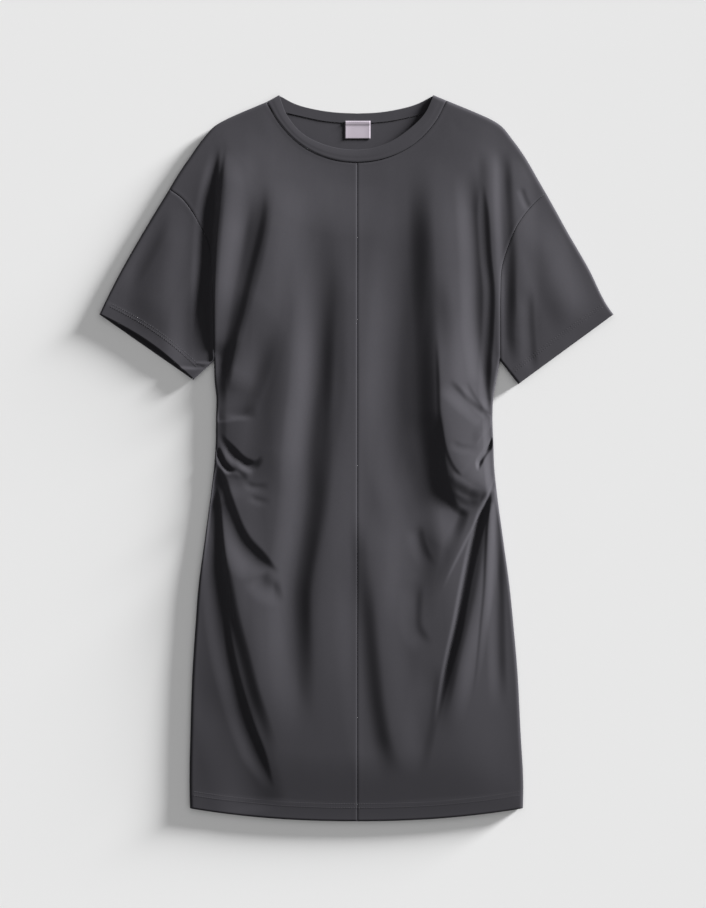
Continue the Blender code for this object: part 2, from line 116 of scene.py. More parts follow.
SIDE_SEAMS = (
    SideRow(-437.0, -207.6, 207.6),
    SideRow(-414.0, -208.1, 208.1),
    SideRow(-339.0, -207.0, 204.5),
    SideRow(-264.0, -204.4, 200.6),
    SideRow(-207.0, -200.6, 195.6),
    SideRow(-170.0, -198.0, 192.0),
    SideRow(-95.0, -188.2, 182.0),
    SideRow(-38.0, -180.6, 174.4),
    SideRow(-8.0, -177.2, 171.6),
    SideRow(17.0, -175.6, 170.8),
    SideRow(50.0, -175.2, 169.6),
    SideRow(74.0, -174.6, 170.6),
    SideRow(98.0, -177.0, 174.4),
    SideRow(121.0, -177.5, 179.0),
)


@dataclass(frozen=True)
class Cut:
    """Outlines of one half, as points from the neck outwards or upwards, and its cloth in square metres."""

    half: Half
    neck: Points
    neck_edge: Points
    back_neck: Points
    back_edge: Points
    shoulder: Points
    overarm: Points
    armhole: Points
    cuff: Points
    bow: float
    front_area: float
    sleeve_area: float


CUTS = {
    Half.LEFT: Cut(
        half=Half.LEFT,
        neck=((1, 368), (-18, 369.7), (-37.3, 374.3), (-67.9, 389.5), (-96.5, 418.3), (-112, 444)),
        neck_edge=((1, 383.8), (-18, 385.2), (-37.3, 389.5), (-67.9, 404.9), (-87, 427.9),
                   (-96.5, SIZES.top)),
        back_neck=((1, 417.8), (-20, 418.2), (-45, 421), (-68, 426), (-88, 430.6), (-103, 434.5),
                   (-112, 444)),
        back_edge=((1, 430), (-25, 431.2), (-49, 434.5), (-78, 442.5), (-96.5, SIZES.top)),
        shoulder=((-112, 444), (-130.6, 436.2), (-148.1, 428.8), (-164.4, 421.2), (-176.9, 413.8),
                  (-190.6, 398.8), (-206.9, 376.2), (-226.9, 346.2), (-233.4, 335)),
        overarm=((-248.1, 311.2), (-263.1, 286.2), (-291.9, 236.2), (-317.2, 186.2),
                 (-SIZES.cuff_tip, 179)),
        armhole=((-177.5, SIZES.underarm), (-177.5, 160), (-178.5, 200), (-181, 240), (-185, 270.5),
                 (-193.2, 286.8), (-204, 305.8), (-217.6, 323.4), (-233.4, 335)),
        cuff=((-SIZES.cuff_tip, 179), (-203.5, 97.5)),
        bow=6.5,
        front_area=0.170,
        sleeve_area=0.0420,
    ),
    Half.RIGHT: Cut(
        half=Half.RIGHT,
        neck=((1, 368), (20, 369.7), (39.3, 374.3), (69.9, 389.5), (98, 418.3), (112.5, 445.6)),
        neck_edge=((1, 383.8), (20, 386), (38, 392), (64, 408.5), (85.3, 429.8), (96.2, SIZES.top)),
        back_neck=((1, 417.8), (22, 418.2), (47, 421), (70, 426), (89, 430.8), (104, 435.5),
                   (112.5, 445.6)),
        back_edge=((1, 430), (27, 431.2), (49, 434.5), (77, 442.3), (96.2, SIZES.top)),
        shoulder=((112.5, 445.6), (135.6, 436.2), (153.1, 428.8), (169.4, 421.2), (180.6, 413.8),
                  (193.1, 398.8), (209.4, 376.2), (226.9, 346.2), (236, 330.5)),
        overarm=((246.9, 311.2), (260.6, 286.2), (289.4, 236.2), (315.2, 186.2), (SIZES.cuff_tip, 179)),
        armhole=((179, SIZES.underarm), (178.8, 160), (179, 203), (181, 238), (189, 265),
                 (198.5, 287), (211, 305.5), (222, 318), (236, 330.5)),
        cuff=((SIZES.cuff_tip, 179), (201.8, 92.1)),
        bow=1.0,
        front_area=0.167,
        sleeve_area=0.0406,
    ),
}


# Folds


class Reach(Enum):
    """How close to a closed edge a fold runs before it dies out."""

    BODY = 14.0
    SEAM = 4.0

    @property
    def thinning(self) -> float:
        """Share of its width that a fold loses towards its ends."""
        return 0.5 if self is Reach.SEAM else 0.0


class Fold(NamedTuple):
    """One fold of the front, soft on a wide side and sharp on a narrow one.

    The height is below 0 for a trough. Left and right are half widths on the -X and +X side of a
    path that runs down the dress, and start and end are the lengths over which it fades.
    """

    name: str
    height: float
    left: float
    right: float
    start: float
    end: float
    path: Points
    reach: Reach = Reach.BODY


LARGE_FOLDS = (
    Fold("left side ridge", 3.2, 18, 40, 45, 45,
         ((-160, 385), (-160, 350), (-164, 300), (-168, 245), (-171, 200), (-172, 160), (-173, 115))),
    Fold("left sleeve hollow", -1.8, 42, 18, 60, 45,
         ((-186, 360), (-192, 300), (-198, 250), (-201, 200), (-203, 155), (-200, 112))),
    Fold("left side trough", -2.6, 30, 16, 60, 30,
         ((-130, 335), (-139, 290), (-147, 245), (-155, 205), (-162, 165), (-168, 120), (-172, 85))),
    Fold("left breast ridge", 3.8, 22, 50, 70, 45,
         ((-96, 350), (-102, 310), (-110, 262), (-121, 215), (-134, 172), (-145, 132), (-156, 92),
          (-168, 56))),
    Fold("left inner ridge", 2.5, 42, 36, 240, 60,
         ((-88, 350), (-86, 270), (-86, 180), (-87, 110), (-91, 55), (-99, 5), (-106, -50))),
    Fold("left main trough", -4.1, 34, 24, 300, 180,
         ((-44, 350), (-46, 260), (-47, 175), (-50, 105), (-57, 50), (-62, 0), (-64, -50), (-71, -105),
          (-79, -160), (-79, -220), (-75, -290), (-70, -340))),
    Fold("centre left ridge", 1.9, 26, 48, 80, 150,
         ((-6, 275), (-10, 210), (-9, 140), (-9, 95), (-15, 45), (-24, -5), (-30, -60), (-38, -115),
          (-45, -170), (-48, -230), (-51, -300), (-56, -370))),
    Fold("centre right trough", -3.2, 44, 32, 180, 90,
         ((62, 345), (59, 260), (54, 190), (48, 120), (48, 60), (54, 0), (66, -40), (75, -85),
          (76, -130), (70, -175), (72, -215))),
    Fold("right breast ridge", 5.8, 34, 60, 110, 45,
         ((96, 380), (97, 300), (100, 235), (104, 165), (107, 105), (109, 55), (115, 12), (123, -25),
          (134, -62))),
    Fold("right breast bank", 4.0, 36, 64, 110, 30,
         ((98, 200), (101, 140), (103, 80), (107, 40), (113, 5), (121, -25), (132, -58))),
    Fold("right breast flank", 1.6, 22, 30, 60, 60,
         ((114, 240), (119, 200), (124, 150), (127, 90), (130, 50))),
    Fold("right side trough", -2.4, 20, 16, 60, 40,
         ((139, 365), (142, 310), (145, 260), (147, 205), (149, 155), (156, 110), (165, 75))),
    Fold("right side ridge", 1.2, 14, 14, 35, 40,
         ((164, 392), (165, 345), (167, 295), (170, 250), (172, 205), (173, 160), (174, 118))),
    Fold("right armhole trough", -1.4, 12, 14, 30, 60,
         ((181, 388), (181, 345), (182, 300), (184, 255), (186, 205), (186, 150))),
    Fold("right sleeve ridge", 1.5, 13, 28, 35, 40,
         ((196, 378), (197, 340), (200, 300), (202, 250), (200, 200), (199, 155), (204, 112))),
    Fold("left sleeve ridge", 1.6, 34, 34, 50, 50,
         ((-226, 315), (-238, 262), (-252, 205), (-262, 150))),
    Fold("right sleeve bank", 1.8, 30, 34, 50, 50,
         ((222, 300), (240, 245), (258, 195), (274, 150))),
    Fold("left gather swell", 2.0, 34, 46, 40, 40,
         ((-158, 84), (-154, 30), (-152, -20), (-158, -80))),
    Fold("right gather swell", 4.5, 46, 34, 40, 40,
         ((152, 92), (150, 40), (150, -10), (156, -70))),
    Fold("left skirt ridge", 3.4, 16, 50, 25, 100,
         ((-173, -30), (-165, -75), (-160, -115), (-152, -155), (-144, -195), (-132, -240),
          (-120, -285), (-105, -330), (-90, -380))),
    Fold("left lower shade", -2.6, 50, 42, 60, 16,
         ((-166, -270), (-156, -325), (-143, -370), (-130, -415), (-124, -444))),
    Fold("right skirt ridge", 3.6, 15, 22, 20, 90,
         ((171, -34), (167, -65), (162, -100), (156, -140), (149, -178), (140, -215), (130, -255),
          (120, -300), (108, -345))),
    Fold("right skirt trough", -1.6, 14, 12, 30, 70,
         ((174, -60), (177, -120), (175, -190), (176, -260), (178, -320))),
    Fold("centre skirt ridge", 2.2, 24, 40, 60, 70,
         ((12, -60), (16, -120), (22, -180), (28, -240), (35, -300), (45, -360), (54, -405))),
)

FINE_CREASES = (
    Fold("left armhole fold", 2.3, 5, 36, 90, 20,
         ((-160, 398), (-166, 350), (-170, 310), (-173, 270), (-175, 220), (-176, 180), (-176, 128)),
         Reach.SEAM),
    Fold("left armhole shade", -6.5, 22, 7, 90, 4,
         ((-172, 392), (-177, 350), (-180, 310), (-183, 270), (-185, 220), (-186, 180), (-186, 140),
          (-184, 118)), Reach.SEAM),
    Fold("left underarm shade", -3.0, 36, 20, 80, 4,
         ((-188, 250), (-195, 200), (-203, 150), (-205, 110)), Reach.SEAM),
    Fold("left breast edge", 2.0, 10, 44, 100, 30,
         ((-107, 350), (-110, 300), (-116, 270), (-124, 240), (-130, 215), (-138, 180), (-146, 150),
          (-154, 120), (-160, 103), (-167, 83))),
    Fold("left gather tuck", -0.9, 3, 18, 4, 34,
         ((-175, 47), (-164, 47.5), (-150, 50), (-138, 55), (-124, 62)), Reach.SEAM),
    Fold("left pleat above the tuck", -1.7, 30, 20, 60, 8,
         ((-112, 156), (-124, 114), (-135, 86), (-142, 66), (-143, 46))),
    Fold("left gather trough", -3.7, 12, 7, 32, 24,
         ((-171, 31), (-162, 17), (-153, 6), (-145, -2), (-137, -7), (-129, -8), (-123, -4), (-119, 3)),
         Reach.SEAM),
    Fold("left gather pinch", -3.4, 6, 5, 4, 12,
         ((-175, 12), (-170, 0), (-164, -10), (-158, -15), (-149, -15)), Reach.SEAM),
    Fold("left gather lip", 0.5, 7, 4, 4, 12,
         ((-175, 2), (-169, -11), (-162, -19), (-150, -20), (-138, -25)), Reach.SEAM),
    Fold("left bright patch", 1.0, 8, 9, 10, 10, ((-152, 3), (-146, -8), (-138, -18), (-130, -26))),
    Fold("left faint pleat", -0.7, 8, 6, 12, 14, ((-142, -30), (-128, -36), (-108, -35))),
    Fold("left faint pleat below", -0.6, 8, 6, 12, 14, ((-136, -47), (-122, -53), (-106, -54))),
    Fold("left long trough", -4.6, 38, 12, 26, 40,
         ((-176, -8), (-172, -27), (-166, -46), (-158, -69), (-149, -91), (-142, -103), (-127, -120),
          (-111, -134), (-96, -146)), Reach.SEAM),
    Fold("left lower hook", -1.9, 22, 17, 10, 12,
         ((-124, -144), (-117, -157), (-106, -164), (-92, -162))),
    Fold("left skirt edge", 1.2, 4, 26, 14, 120,
         ((-175, -16), (-170, -58), (-165, -100), (-160, -141), (-155, -175), (-148, -215),
          (-140, -255)), Reach.SEAM),
    Fold("left skirt valley", -3.3, 24, 10, 30, 60,
         ((-177, -36), (-176, -80), (-174, -120), (-171, -160), (-167, -200), (-160, -245), (-149, -290),
          (-135, -335), (-119, -375), (-104, -415)), Reach.SEAM),
    Fold("right breast edge", 1.0, 5, 30, 60, 10,
         ((101, 160), (104, 90), (105, 58), (109, 28), (116, 3), (124, -12), (134, -22))),
    Fold("right gather cup", -3.3, 46, 12, 40, 14,
         ((96, 60), (98, 20), (102, -22), (110, -50), (122, -68), (140, -76))),
    Fold("right gather bright line", 1.2, 14, 4, 4, 18,
         ((173, 50), (166, 42), (158, 32), (152, 24), (147, 14)), Reach.SEAM),
    Fold("right stripe from above", -2.0, 18, 9, 20, 10,
         ((110, 96), (124, 82), (136, 70), (149, 59), (166, 48))),
    Fold("right fan crease", -0.8, 9, 6, 14, 10, ((134, 96), (144, 76), (156, 60), (168, 50))),
    Fold("right small crease", -0.6, 9, 7, 10, 14, ((116, 20), (126, 14), (142, 11), (154, 13))),
    Fold("right gather trough", -5.2, 6, 4.5, 3, 12,
         ((173, 25), (165, 13), (158, 3), (153, -6), (151, -16)), Reach.SEAM),
    Fold("right gather roll", 0.6, 9, 8, 10, 14, ((114, -20), (130, -31), (148, -41), (160, -43))),
    Fold("right gather patch", 0.45, 7, 5, 8, 10, ((118, -40), (130, -48), (144, -53))),
    Fold("right under patch", -0.5, 9, 7, 10, 12, ((120, -58), (138, -60), (154, -55))),
    Fold("right pleat", 2.6, 22, 4, 24, 70,
         ((172, -22), (165, -38), (159, -53), (148, -76), (134, -103), (119, -134), (104, -168)),
         Reach.SEAM),
    Fold("right pleat valley", -4.0, 7, 9, 16, 120,
         ((168, -40), (163, -54), (156, -70), (149, -93), (143, -116), (136, -149), (131, -175),
          (124, -212), (115, -250), (106, -290), (98, -335)), Reach.SEAM),
    Fold("right skirt line", 1.3, 5, 10, 10, 120,
         ((171, -34), (167, -60), (165, -85), (163, -120), (161, -165), (157, -205), (152, -250),
          (145, -300)), Reach.SEAM),
    Fold("right outer line", 1.0, 6, 5, 8, 60,
         ((173, -34), (178, -62), (182, -84), (187, -110), (191, -140)), Reach.SEAM),
    Fold("right y crease", -0.9, 16, 9, 16, 30, ((75, -82), (77, -100), (83, -118), (96, -140))),
    Fold("left inner shade", -1.0, 34, 14, 90, 120,
         ((-40, 215), (-42, 120), (-42, 60), (-44, 0), (-50, -70), (-60, -120), (-67, -160),
          (-67, -230), (-64, -285))),
    Fold("right narrow shade", -1.5, 10, 7, 50, 16,
         ((156, 345), (159, 300), (162, 250), (166, 210), (165, 160), (162, 112), (161, 82), (164, 58)),
         Reach.SEAM),
    Fold("right shoulder crease", -0.9, 7, 5, 8, 8, ((204, 338), (209, 322), (216, 308))),
    Fold("left sleeve shade", -0.9, 20, 14, 40, 40, ((-234, 312), (-258, 262), (-290, 204))),
    Fold("right sleeve shade", -0.9, 14, 10, 30, 24, ((212, 215), (214, 160), (219, 104))),
    Fold("centre skirt shade", -1.8, 40, 20, 80, 60,
         ((4, -130), (8, -200), (13, -260), (20, -320), (32, -372), (48, -404))),
    Fold("right skirt dent", -1.1, 22, 10, 30, 20, ((76, -150), (73, -185), (74, -212), (90, -236))),
    Fold("lower right shade", -1.1, 30, 14, 40, 50, ((96, -250), (92, -300), (84, -350), (72, -400))),
)


# Curves and surfaces in the plane


def ease(share: Array) -> Array:
    """Smooth step from 0 to 1."""
    share = np.clip(share, 0.0, 1.0)
    return share * share * (3.0 - 2.0 * share)


def hem_turn(up: Array) -> Array:
    """Height that the turned hem adds at distances up from its edge."""
    return SIZES.hem_step * (1.0 - ease((up - SIZES.hem_depth + SIZES.hem_lead) / SIZES.hem_ease))


def smooth_route(points: Points) -> Route:
    """A smooth line through points.

    Args:
        points: the places that the line goes through.

    Returns:
        A function from shares of the way, 0 to 1, to places.
    """
    knots = np.array(points, dtype=float)
    reach = np.concatenate([[0.0], np.cumsum(np.linalg.norm(np.diff(knots, axis=0), axis=1))])
    slopes = np.gradient(knots, reach, axis=0)

    def at(t: Array) -> Array:
        """Places at the given shares of the way."""
        place = np.clip(np.asarray(t, dtype=float), 0.0, 1.0) * reach[-1]
        index = np.clip(np.searchsorted(reach, place, side="right") - 1, 0, len(reach) - 2)
        span = (reach[index + 1] - reach[index])[..., None]
        k = (place - reach[index])[..., None] / span
        return ((2 * k**3 - 3 * k**2 + 1) * knots[index] + (k**3 - 2 * k**2 + k) * span * slopes[index]
                + (3 * k**2 - 2 * k**3) * knots[index + 1] + (k**3 - k**2) * span * slopes[index + 1])

    return at


def moved_aside(route: Route, distance: float, sign: int) -> Route:
    """The same line moved sideways in the plane by a distance."""

    def at(t: Array) -> Array:
        """Places of the moved line at the given shares."""
        t = np.asarray(t, dtype=float)
        step = route(t + 0.004) - route(t - 0.004)
        across = np.stack([step[..., 1], -step[..., 0]], axis=-1)
        return route(t) + sign * distance * across / np.linalg.norm(across, axis=-1, keepdims=True)

    return at


def patch(bottom: Route, top: Route, first: Route, last: Route, u: Array, v: Array) -> Array:
    """Coons patch between four edge lines.

    Args:
        bottom, top: the edges along u.
        first, last: the edges along v.
        u, v: grids of shares.

    Returns:
        Places in the plane, one for each grid point.
    """
    lines = (1 - v)[..., None] * bottom(u) + v[..., None] * top(u)
    columns = (1 - u)[..., None] * first(v) + u[..., None] * last(v)
    zero, one = np.zeros_like(u), np.ones_like(u)
    corners = (((1 - u) * (1 - v))[..., None] * bottom(zero) + (u * (1 - v))[..., None] * bottom(one)
               + ((1 - u) * v)[..., None] * top(zero) + (u * v)[..., None] * top(one))
    return lines + columns - corners


def nearest(points: Array, line: Array) -> tuple[Array, Array, Array]:
    """Distance, side and reach along a line, for each point."""
    start, end = line[:-1], line[1:]
    along = end - start
    length = np.linalg.norm(along, axis=1)
    rel = points[:, None, :] - start[None]
    share = np.clip((rel * along[None]).sum(-1) / (length**2)[None], 0.0, 1.0)
    away = rel - share[..., None] * along[None]
    distance = np.linalg.norm(away, axis=-1)
    best = distance.argmin(axis=1)
    row = np.arange(len(points))
    side = np.sign(along[best, 0] * rel[row, best, 1] - along[best, 1] * rel[row, best, 0])
    reach = np.concatenate([[0.0], np.cumsum(length)])[best] + share[row, best] * length[best]
    return distance[row, best], side, reach


def even_lines(start: float, end: float, size: float, pitch: float) -> Array:
    """Evenly spaced shares from start to end, about a pitch apart on a length of size."""
    return np.linspace(start, end, max(2, round((end - start) * size / pitch) + 1))


def lifted(plane: Array, z: Array) -> Array:
    """Join places in the plane with heights."""
    return np.concatenate([plane, z[..., None]], axis=-1)


class Pattern:
    """The outline of the dress as lines in the plane."""

    side_share = 0.712
    neck_share = 0.44

    def side_x(self, half: Half, y: Array) -> Array:
        """Smooth x of a side seam at the given heights."""
        rows = smooth_route(tuple((r.y, r.left if half is Half.LEFT else r.right) for r in SIDE_SEAMS))
        dense = rows(np.linspace(0.0, 1.0, 200))
        return np.interp(y, dense[:, 0], dense[:, 1])

    def hem_corner(self, half: Half) -> float:
        """x of the hem's corner on one side."""
        return SIDE_SEAMS[0].left if half is Half.LEFT else SIDE_SEAMS[0].right

    def hem_point(self, x: Array) -> Array:
        """Places on the curved hem."""
        share = np.abs(x / SIDE_SEAMS[0].right)
        return np.stack([x, SIZES.bottom + SIZES.hem_drop * share**SIZES.hem_curve], axis=-1)

    def outer_edge(self, half: Half, v: Array) -> Array:
        """Side seam up to the underarm, then the armhole up to the overarm."""
        corner_y = SIZES.bottom + SIZES.hem_drop
        y = corner_y + (SIZES.underarm - corner_y) * np.clip(v / self.side_share, 0.0, 1.0)
        side = np.stack([self.side_x(half, y), y], axis=-1)
        armhole = smooth_route(CUTS[half].armhole)((v - self.side_share) / (1.0 - self.side_share))
        return np.where((v > self.side_share)[..., None], armhole, side)

    def closed_lines(self) -> list[Array]:
        """Outer edges where the front meets the back."""
        lines = []
        steps = np.linspace(0.0, 1.0, 60)
        for half, cut in CUTS.items():
            lines.append(self.outer_edge(half, steps * self.side_share))
            lines.append(np.array([cut.armhole[0], cut.cuff[1]], dtype=float))
            lines.append(smooth_route(cut.shoulder + cut.overarm)(steps))
            lines.append(np.array([cut.neck[-1], cut.neck_edge[-1]], dtype=float))
        return lines

    def open_lines(self) -> list[Array]:
        """Edges left open: hem, cuffs and the front neckline."""
        steps = np.linspace(0.0, 1.0, 30)
        lines = [self.hem_point(np.linspace(SIDE_SEAMS[0].left, SIDE_SEAMS[0].right, 40))]
        for cut in CUTS.values():
            lines.append(np.array(cut.cuff, dtype=float))
            lines.append(smooth_route(cut.neck)(steps))
        return lines

    def seam_lines(self) -> list[Array]:
        """Seams that show on the front: centre, armholes and neck."""
        steps = np.linspace(0.0, 1.0, 60)
        lines = [np.array([(SIZES.centre, SIZES.bottom), (SIZES.centre, 368.0)])]
        for cut in CUTS.values():
            lines.append(smooth_route(cut.armhole)(steps))
            lines.append(smooth_route(cut.neck)(steps))
        return lines


PATTERN = Pattern()


@dataclass(frozen=True)
class Drape:
    """Heights of the laid front: its body, its folds and its seams."""

    seam_height: float = 5.0
    edge_height: float = 8.0
    body_height: float = 14.0
    rim: float = 4.5
    rise: float = 85.0
    lowest: float = 4.6
    softness: float = 1.0
    blend: float = 16.0
    groove: float = 0.25
    groove_width: float = 0.9
    lip: float = 0.08
    lip_place: float = 3.0
    lip_width: float = 1.6

    def distance(self, points: Array, lines: list[Array]) -> Array:
        """Smallest distance from each point to any of the lines."""
        return np.min([nearest(points, line)[0] for line in lines], axis=0)

    def soft_distance(self, points: Array, lines: list[Array]) -> Array:
        """Distance to the lines that turns gently where the nearest line changes."""
        near = np.array([nearest(points, line)[0] for line in lines])
        least = near.min(axis=0)
        extra = np.exp((least[None] - near) / self.blend).sum(axis=0)
        return least - self.blend * np.log(extra) * ease(least / (2.0 * self.blend))

    def fold(self, points: Array, fold: Fold) -> Array:
        """Height that one fold adds at each point."""
        line = smooth_route(fold.path)(np.linspace(0.0, 1.0, 4 * len(fold.path)))
        room = max(fold.left, fold.right)
        near = np.all((points > line.min(0) - room) & (points < line.max(0) + room), axis=1)
        added = np.zeros(len(points))
        if near.any():
            distance, side, reach = nearest(points[near], line)
            length = np.linalg.norm(np.diff(line, axis=0), axis=1).sum()
            fade = ease(reach / fold.start) * ease((length - reach) / fold.end)
            width = np.where(side > 0, fold.right, fold.left) * (1.0 - fold.reach.thinning * (1.0 - fade))
            across = 0.5 + 0.5 * np.cos(np.pi * np.clip(distance / width, 0.0, 1.0))
            added[near] = fold.height * across * fade
        return added

    def top(self, plane: Array) -> Array:
        """Height of the front's outer skin over places in the plane."""
        points = plane.reshape(-1, 2)
        shut = self.distance(points, PATTERN.closed_lines())
        away = self.soft_distance(points, PATTERN.closed_lines() + PATTERN.open_lines())
        height = self.edge_height + (self.body_height - self.edge_height) * ease(away / self.rise)
        for fold in LARGE_FOLDS + FINE_CREASES:
            height += self.fold(points, fold) * ease(shut / fold.reach.value)
        spare = height - self.lowest
        height = self.lowest + 0.5 * (spare + np.sqrt(spare**2 + self.softness**2))
        seam = self.distance(points, PATTERN.seam_lines())
        height -= self.groove * np.exp(-((seam / self.groove_width) ** 2))
        height += self.lip * np.exp(-(((seam - self.lip_place) / self.lip_width) ** 2))
        return height.reshape(plane.shape[:-1])

    def rim_lines(self, size: float, closed: bool, steps: int = 6) -> tuple[Array, Array]:
        """Grid lines over an edge.

        Args:
            size: length that the shares are of.
            closed: whether the edge rounds down to a seam.
            steps: number of lines after the first.

        Returns:
            Their shares of the size, and how far each has dropped to the seam.
        """
        if closed:
            angle = np.linspace(0.0, np.pi / 2, steps + 1)
            distance, drop = self.rim * (1.0 - np.sin(angle)), 1.0 - np.cos(angle)
        else:
            distance, drop = self.rim * (1.0 - np.linspace(0.0, 1.0, steps + 1)), np.zeros(steps + 1)
        return 1.0 - distance / size, drop


DRAPE = Drape()


# Meshes


@dataclass
class Skin:
    """A grid of places that becomes a cloth shell."""

    name: str
    places: Array
    wall: float
    wrap: bool = False
    flip: bool = False
    grain: float = 0.0

    def build(self) -> bpy.types.Object:
        """Make the mesh, its knit map and its wall.

        Returns:
            The piece, with its place in its mesh.
        """
        columns, rows = self.places.shape[:2]
        index = np.arange(columns * rows).reshape(columns, rows)
        following = np.roll(index, -1, axis=0) if self.wrap else index[1:]
        here = index if self.wrap else index[:-1]
        quads = np.stack([here[:, :-1], following[:, :-1], following[:, 1:], here[:, 1:]], axis=-1)
        quads = quads.reshape(-1, 4)
        if self.flip:
            quads = quads[:, ::-1]
        corners = self.places.reshape(-1, 3) * MM
        mesh = bpy.data.meshes.new(self.name)
        mesh.from_pydata(corners.tolist(), [], quads.tolist())
        mesh.update()
        turn = np.array([[math.cos(self.grain), math.sin(self.grain)],
                         [-math.sin(self.grain), math.cos(self.grain)]])
        flat = corners[quads.ravel()][:, :2] @ turn.T
        mesh.uv_layers.new(name="knit").data.foreach_set("uv", flat.astype(np.float32).ravel())
        mesh.shade_smooth()
        piece = bpy.data.objects.new(self.name, mesh)
        bpy.context.scene.collection.objects.link(piece)
        cloth = piece.modifiers.new("cloth wall", "SOLIDIFY")
        cloth.thickness = self.wall * MM
        cloth.offset = -1.0
        return piece


def hand_over(piece: bpy.types.Object, nodes: tuple[str, ...]) -> None:
    """Let a piece ride on the dress in place of its solids.

    Args:
        piece: the finished piece.
        nodes: the solids that it stands for.
    """
    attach(piece, "root")
    if nodes:
        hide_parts(*nodes)
    log.info("%s: %d faces before its wall", piece.name, len(piece.data.polygons))


# Shader nodes


class Wire:
    """A shader value that turns Python arithmetic into Math nodes."""

    def __init__(self, bench: "Bench", socket: bpy.types.NodeSocket) -> None:
        """Hold a socket of a bench's material."""
        self.bench = bench
        self.socket = socket

    def join(self, operation: str, first: Any, second: Any = 0.0) -> "Wire":
        """One Math node over two values."""
        node = self.bench.node("ShaderNodeMath", {"operation": operation}, {0: first, 1: second})
        return Wire(self.bench, node.outputs[0])

    def __add__(self, other: Any) -> "Wire":
        """Sum."""
        return self.join("ADD", self, other)

    def __radd__(self, other: Any) -> "Wire":
        """Sum, from the right."""
        return self.join("ADD", other, self)

    def __sub__(self, other: Any) -> "Wire":
        """Difference."""
        return self.join("SUBTRACT", self, other)

    def __mul__(self, other: Any) -> "Wire":
        """Product."""
        return self.join("MULTIPLY", self, other)

    def sine(self) -> "Wire":
        """Sine of the value."""
        return self.join("SINE", self)

    def size(self) -> "Wire":
        """Value without its sign."""
        return self.join("ABSOLUTE", self)


class Bench:
    """One material and the one method that makes its nodes."""

    def __init__(self, name: str) -> None:
        """Start a material with only its shader and output."""
        self.material = bpy.data.materials.new(name)
        self.material.use_nodes = True
        self.tree = self.material.node_tree
        self.shader = self.tree.nodes["Principled BSDF"]

    def node(self, kind: str, settings: dict[str, Any] | None = None,
             values: dict[int | str, Any] | None = None) -> bpy.types.Node:
        """Make a node.

        Args:
            kind: the node's type.
            settings: properties, which are set first.
            values: numbers, sockets or wires for its inputs.

        Returns:
            The node.
        """
        node = self.tree.nodes.new(kind)
        for key, value in (settings or {}).items():
            setattr(node, key, value)
        for key, value in (values or {}).items():
            self.feed(node.inputs[key], value)
        return node

    def feed(self, socket: bpy.types.NodeSocket, value: Any) -> None:
        """Give a socket a number, another socket or a wire."""
        if isinstance(value, Wire):
            value = value.socket
        if isinstance(value, bpy.types.NodeSocket):
            self.tree.links.new(value, socket)
        else:
            socket.default_value = value

    def wire(self, socket: bpy.types.NodeSocket) -> Wire:
        """Wrap a socket for arithmetic."""
        return Wire(self, socket)

    def noise(self, place: bpy.types.NodeSocket, scale: float, detail: float) -> Wire:
        """Noise between about 0 and 1."""
        node = self.node("ShaderNodeTexNoise", None, {"Vector": place, "Scale": scale, "Detail": detail})
        return self.wire(node.outputs["Fac"])

    def mix(self, share: Any, first: Any, second: Any) -> bpy.types.NodeSocket:
        """Mix two colours."""
        node = self.node("ShaderNodeMix", {"data_type": "RGBA"}, {0: share, 6: first, 7: second})
        return node.outputs[2]


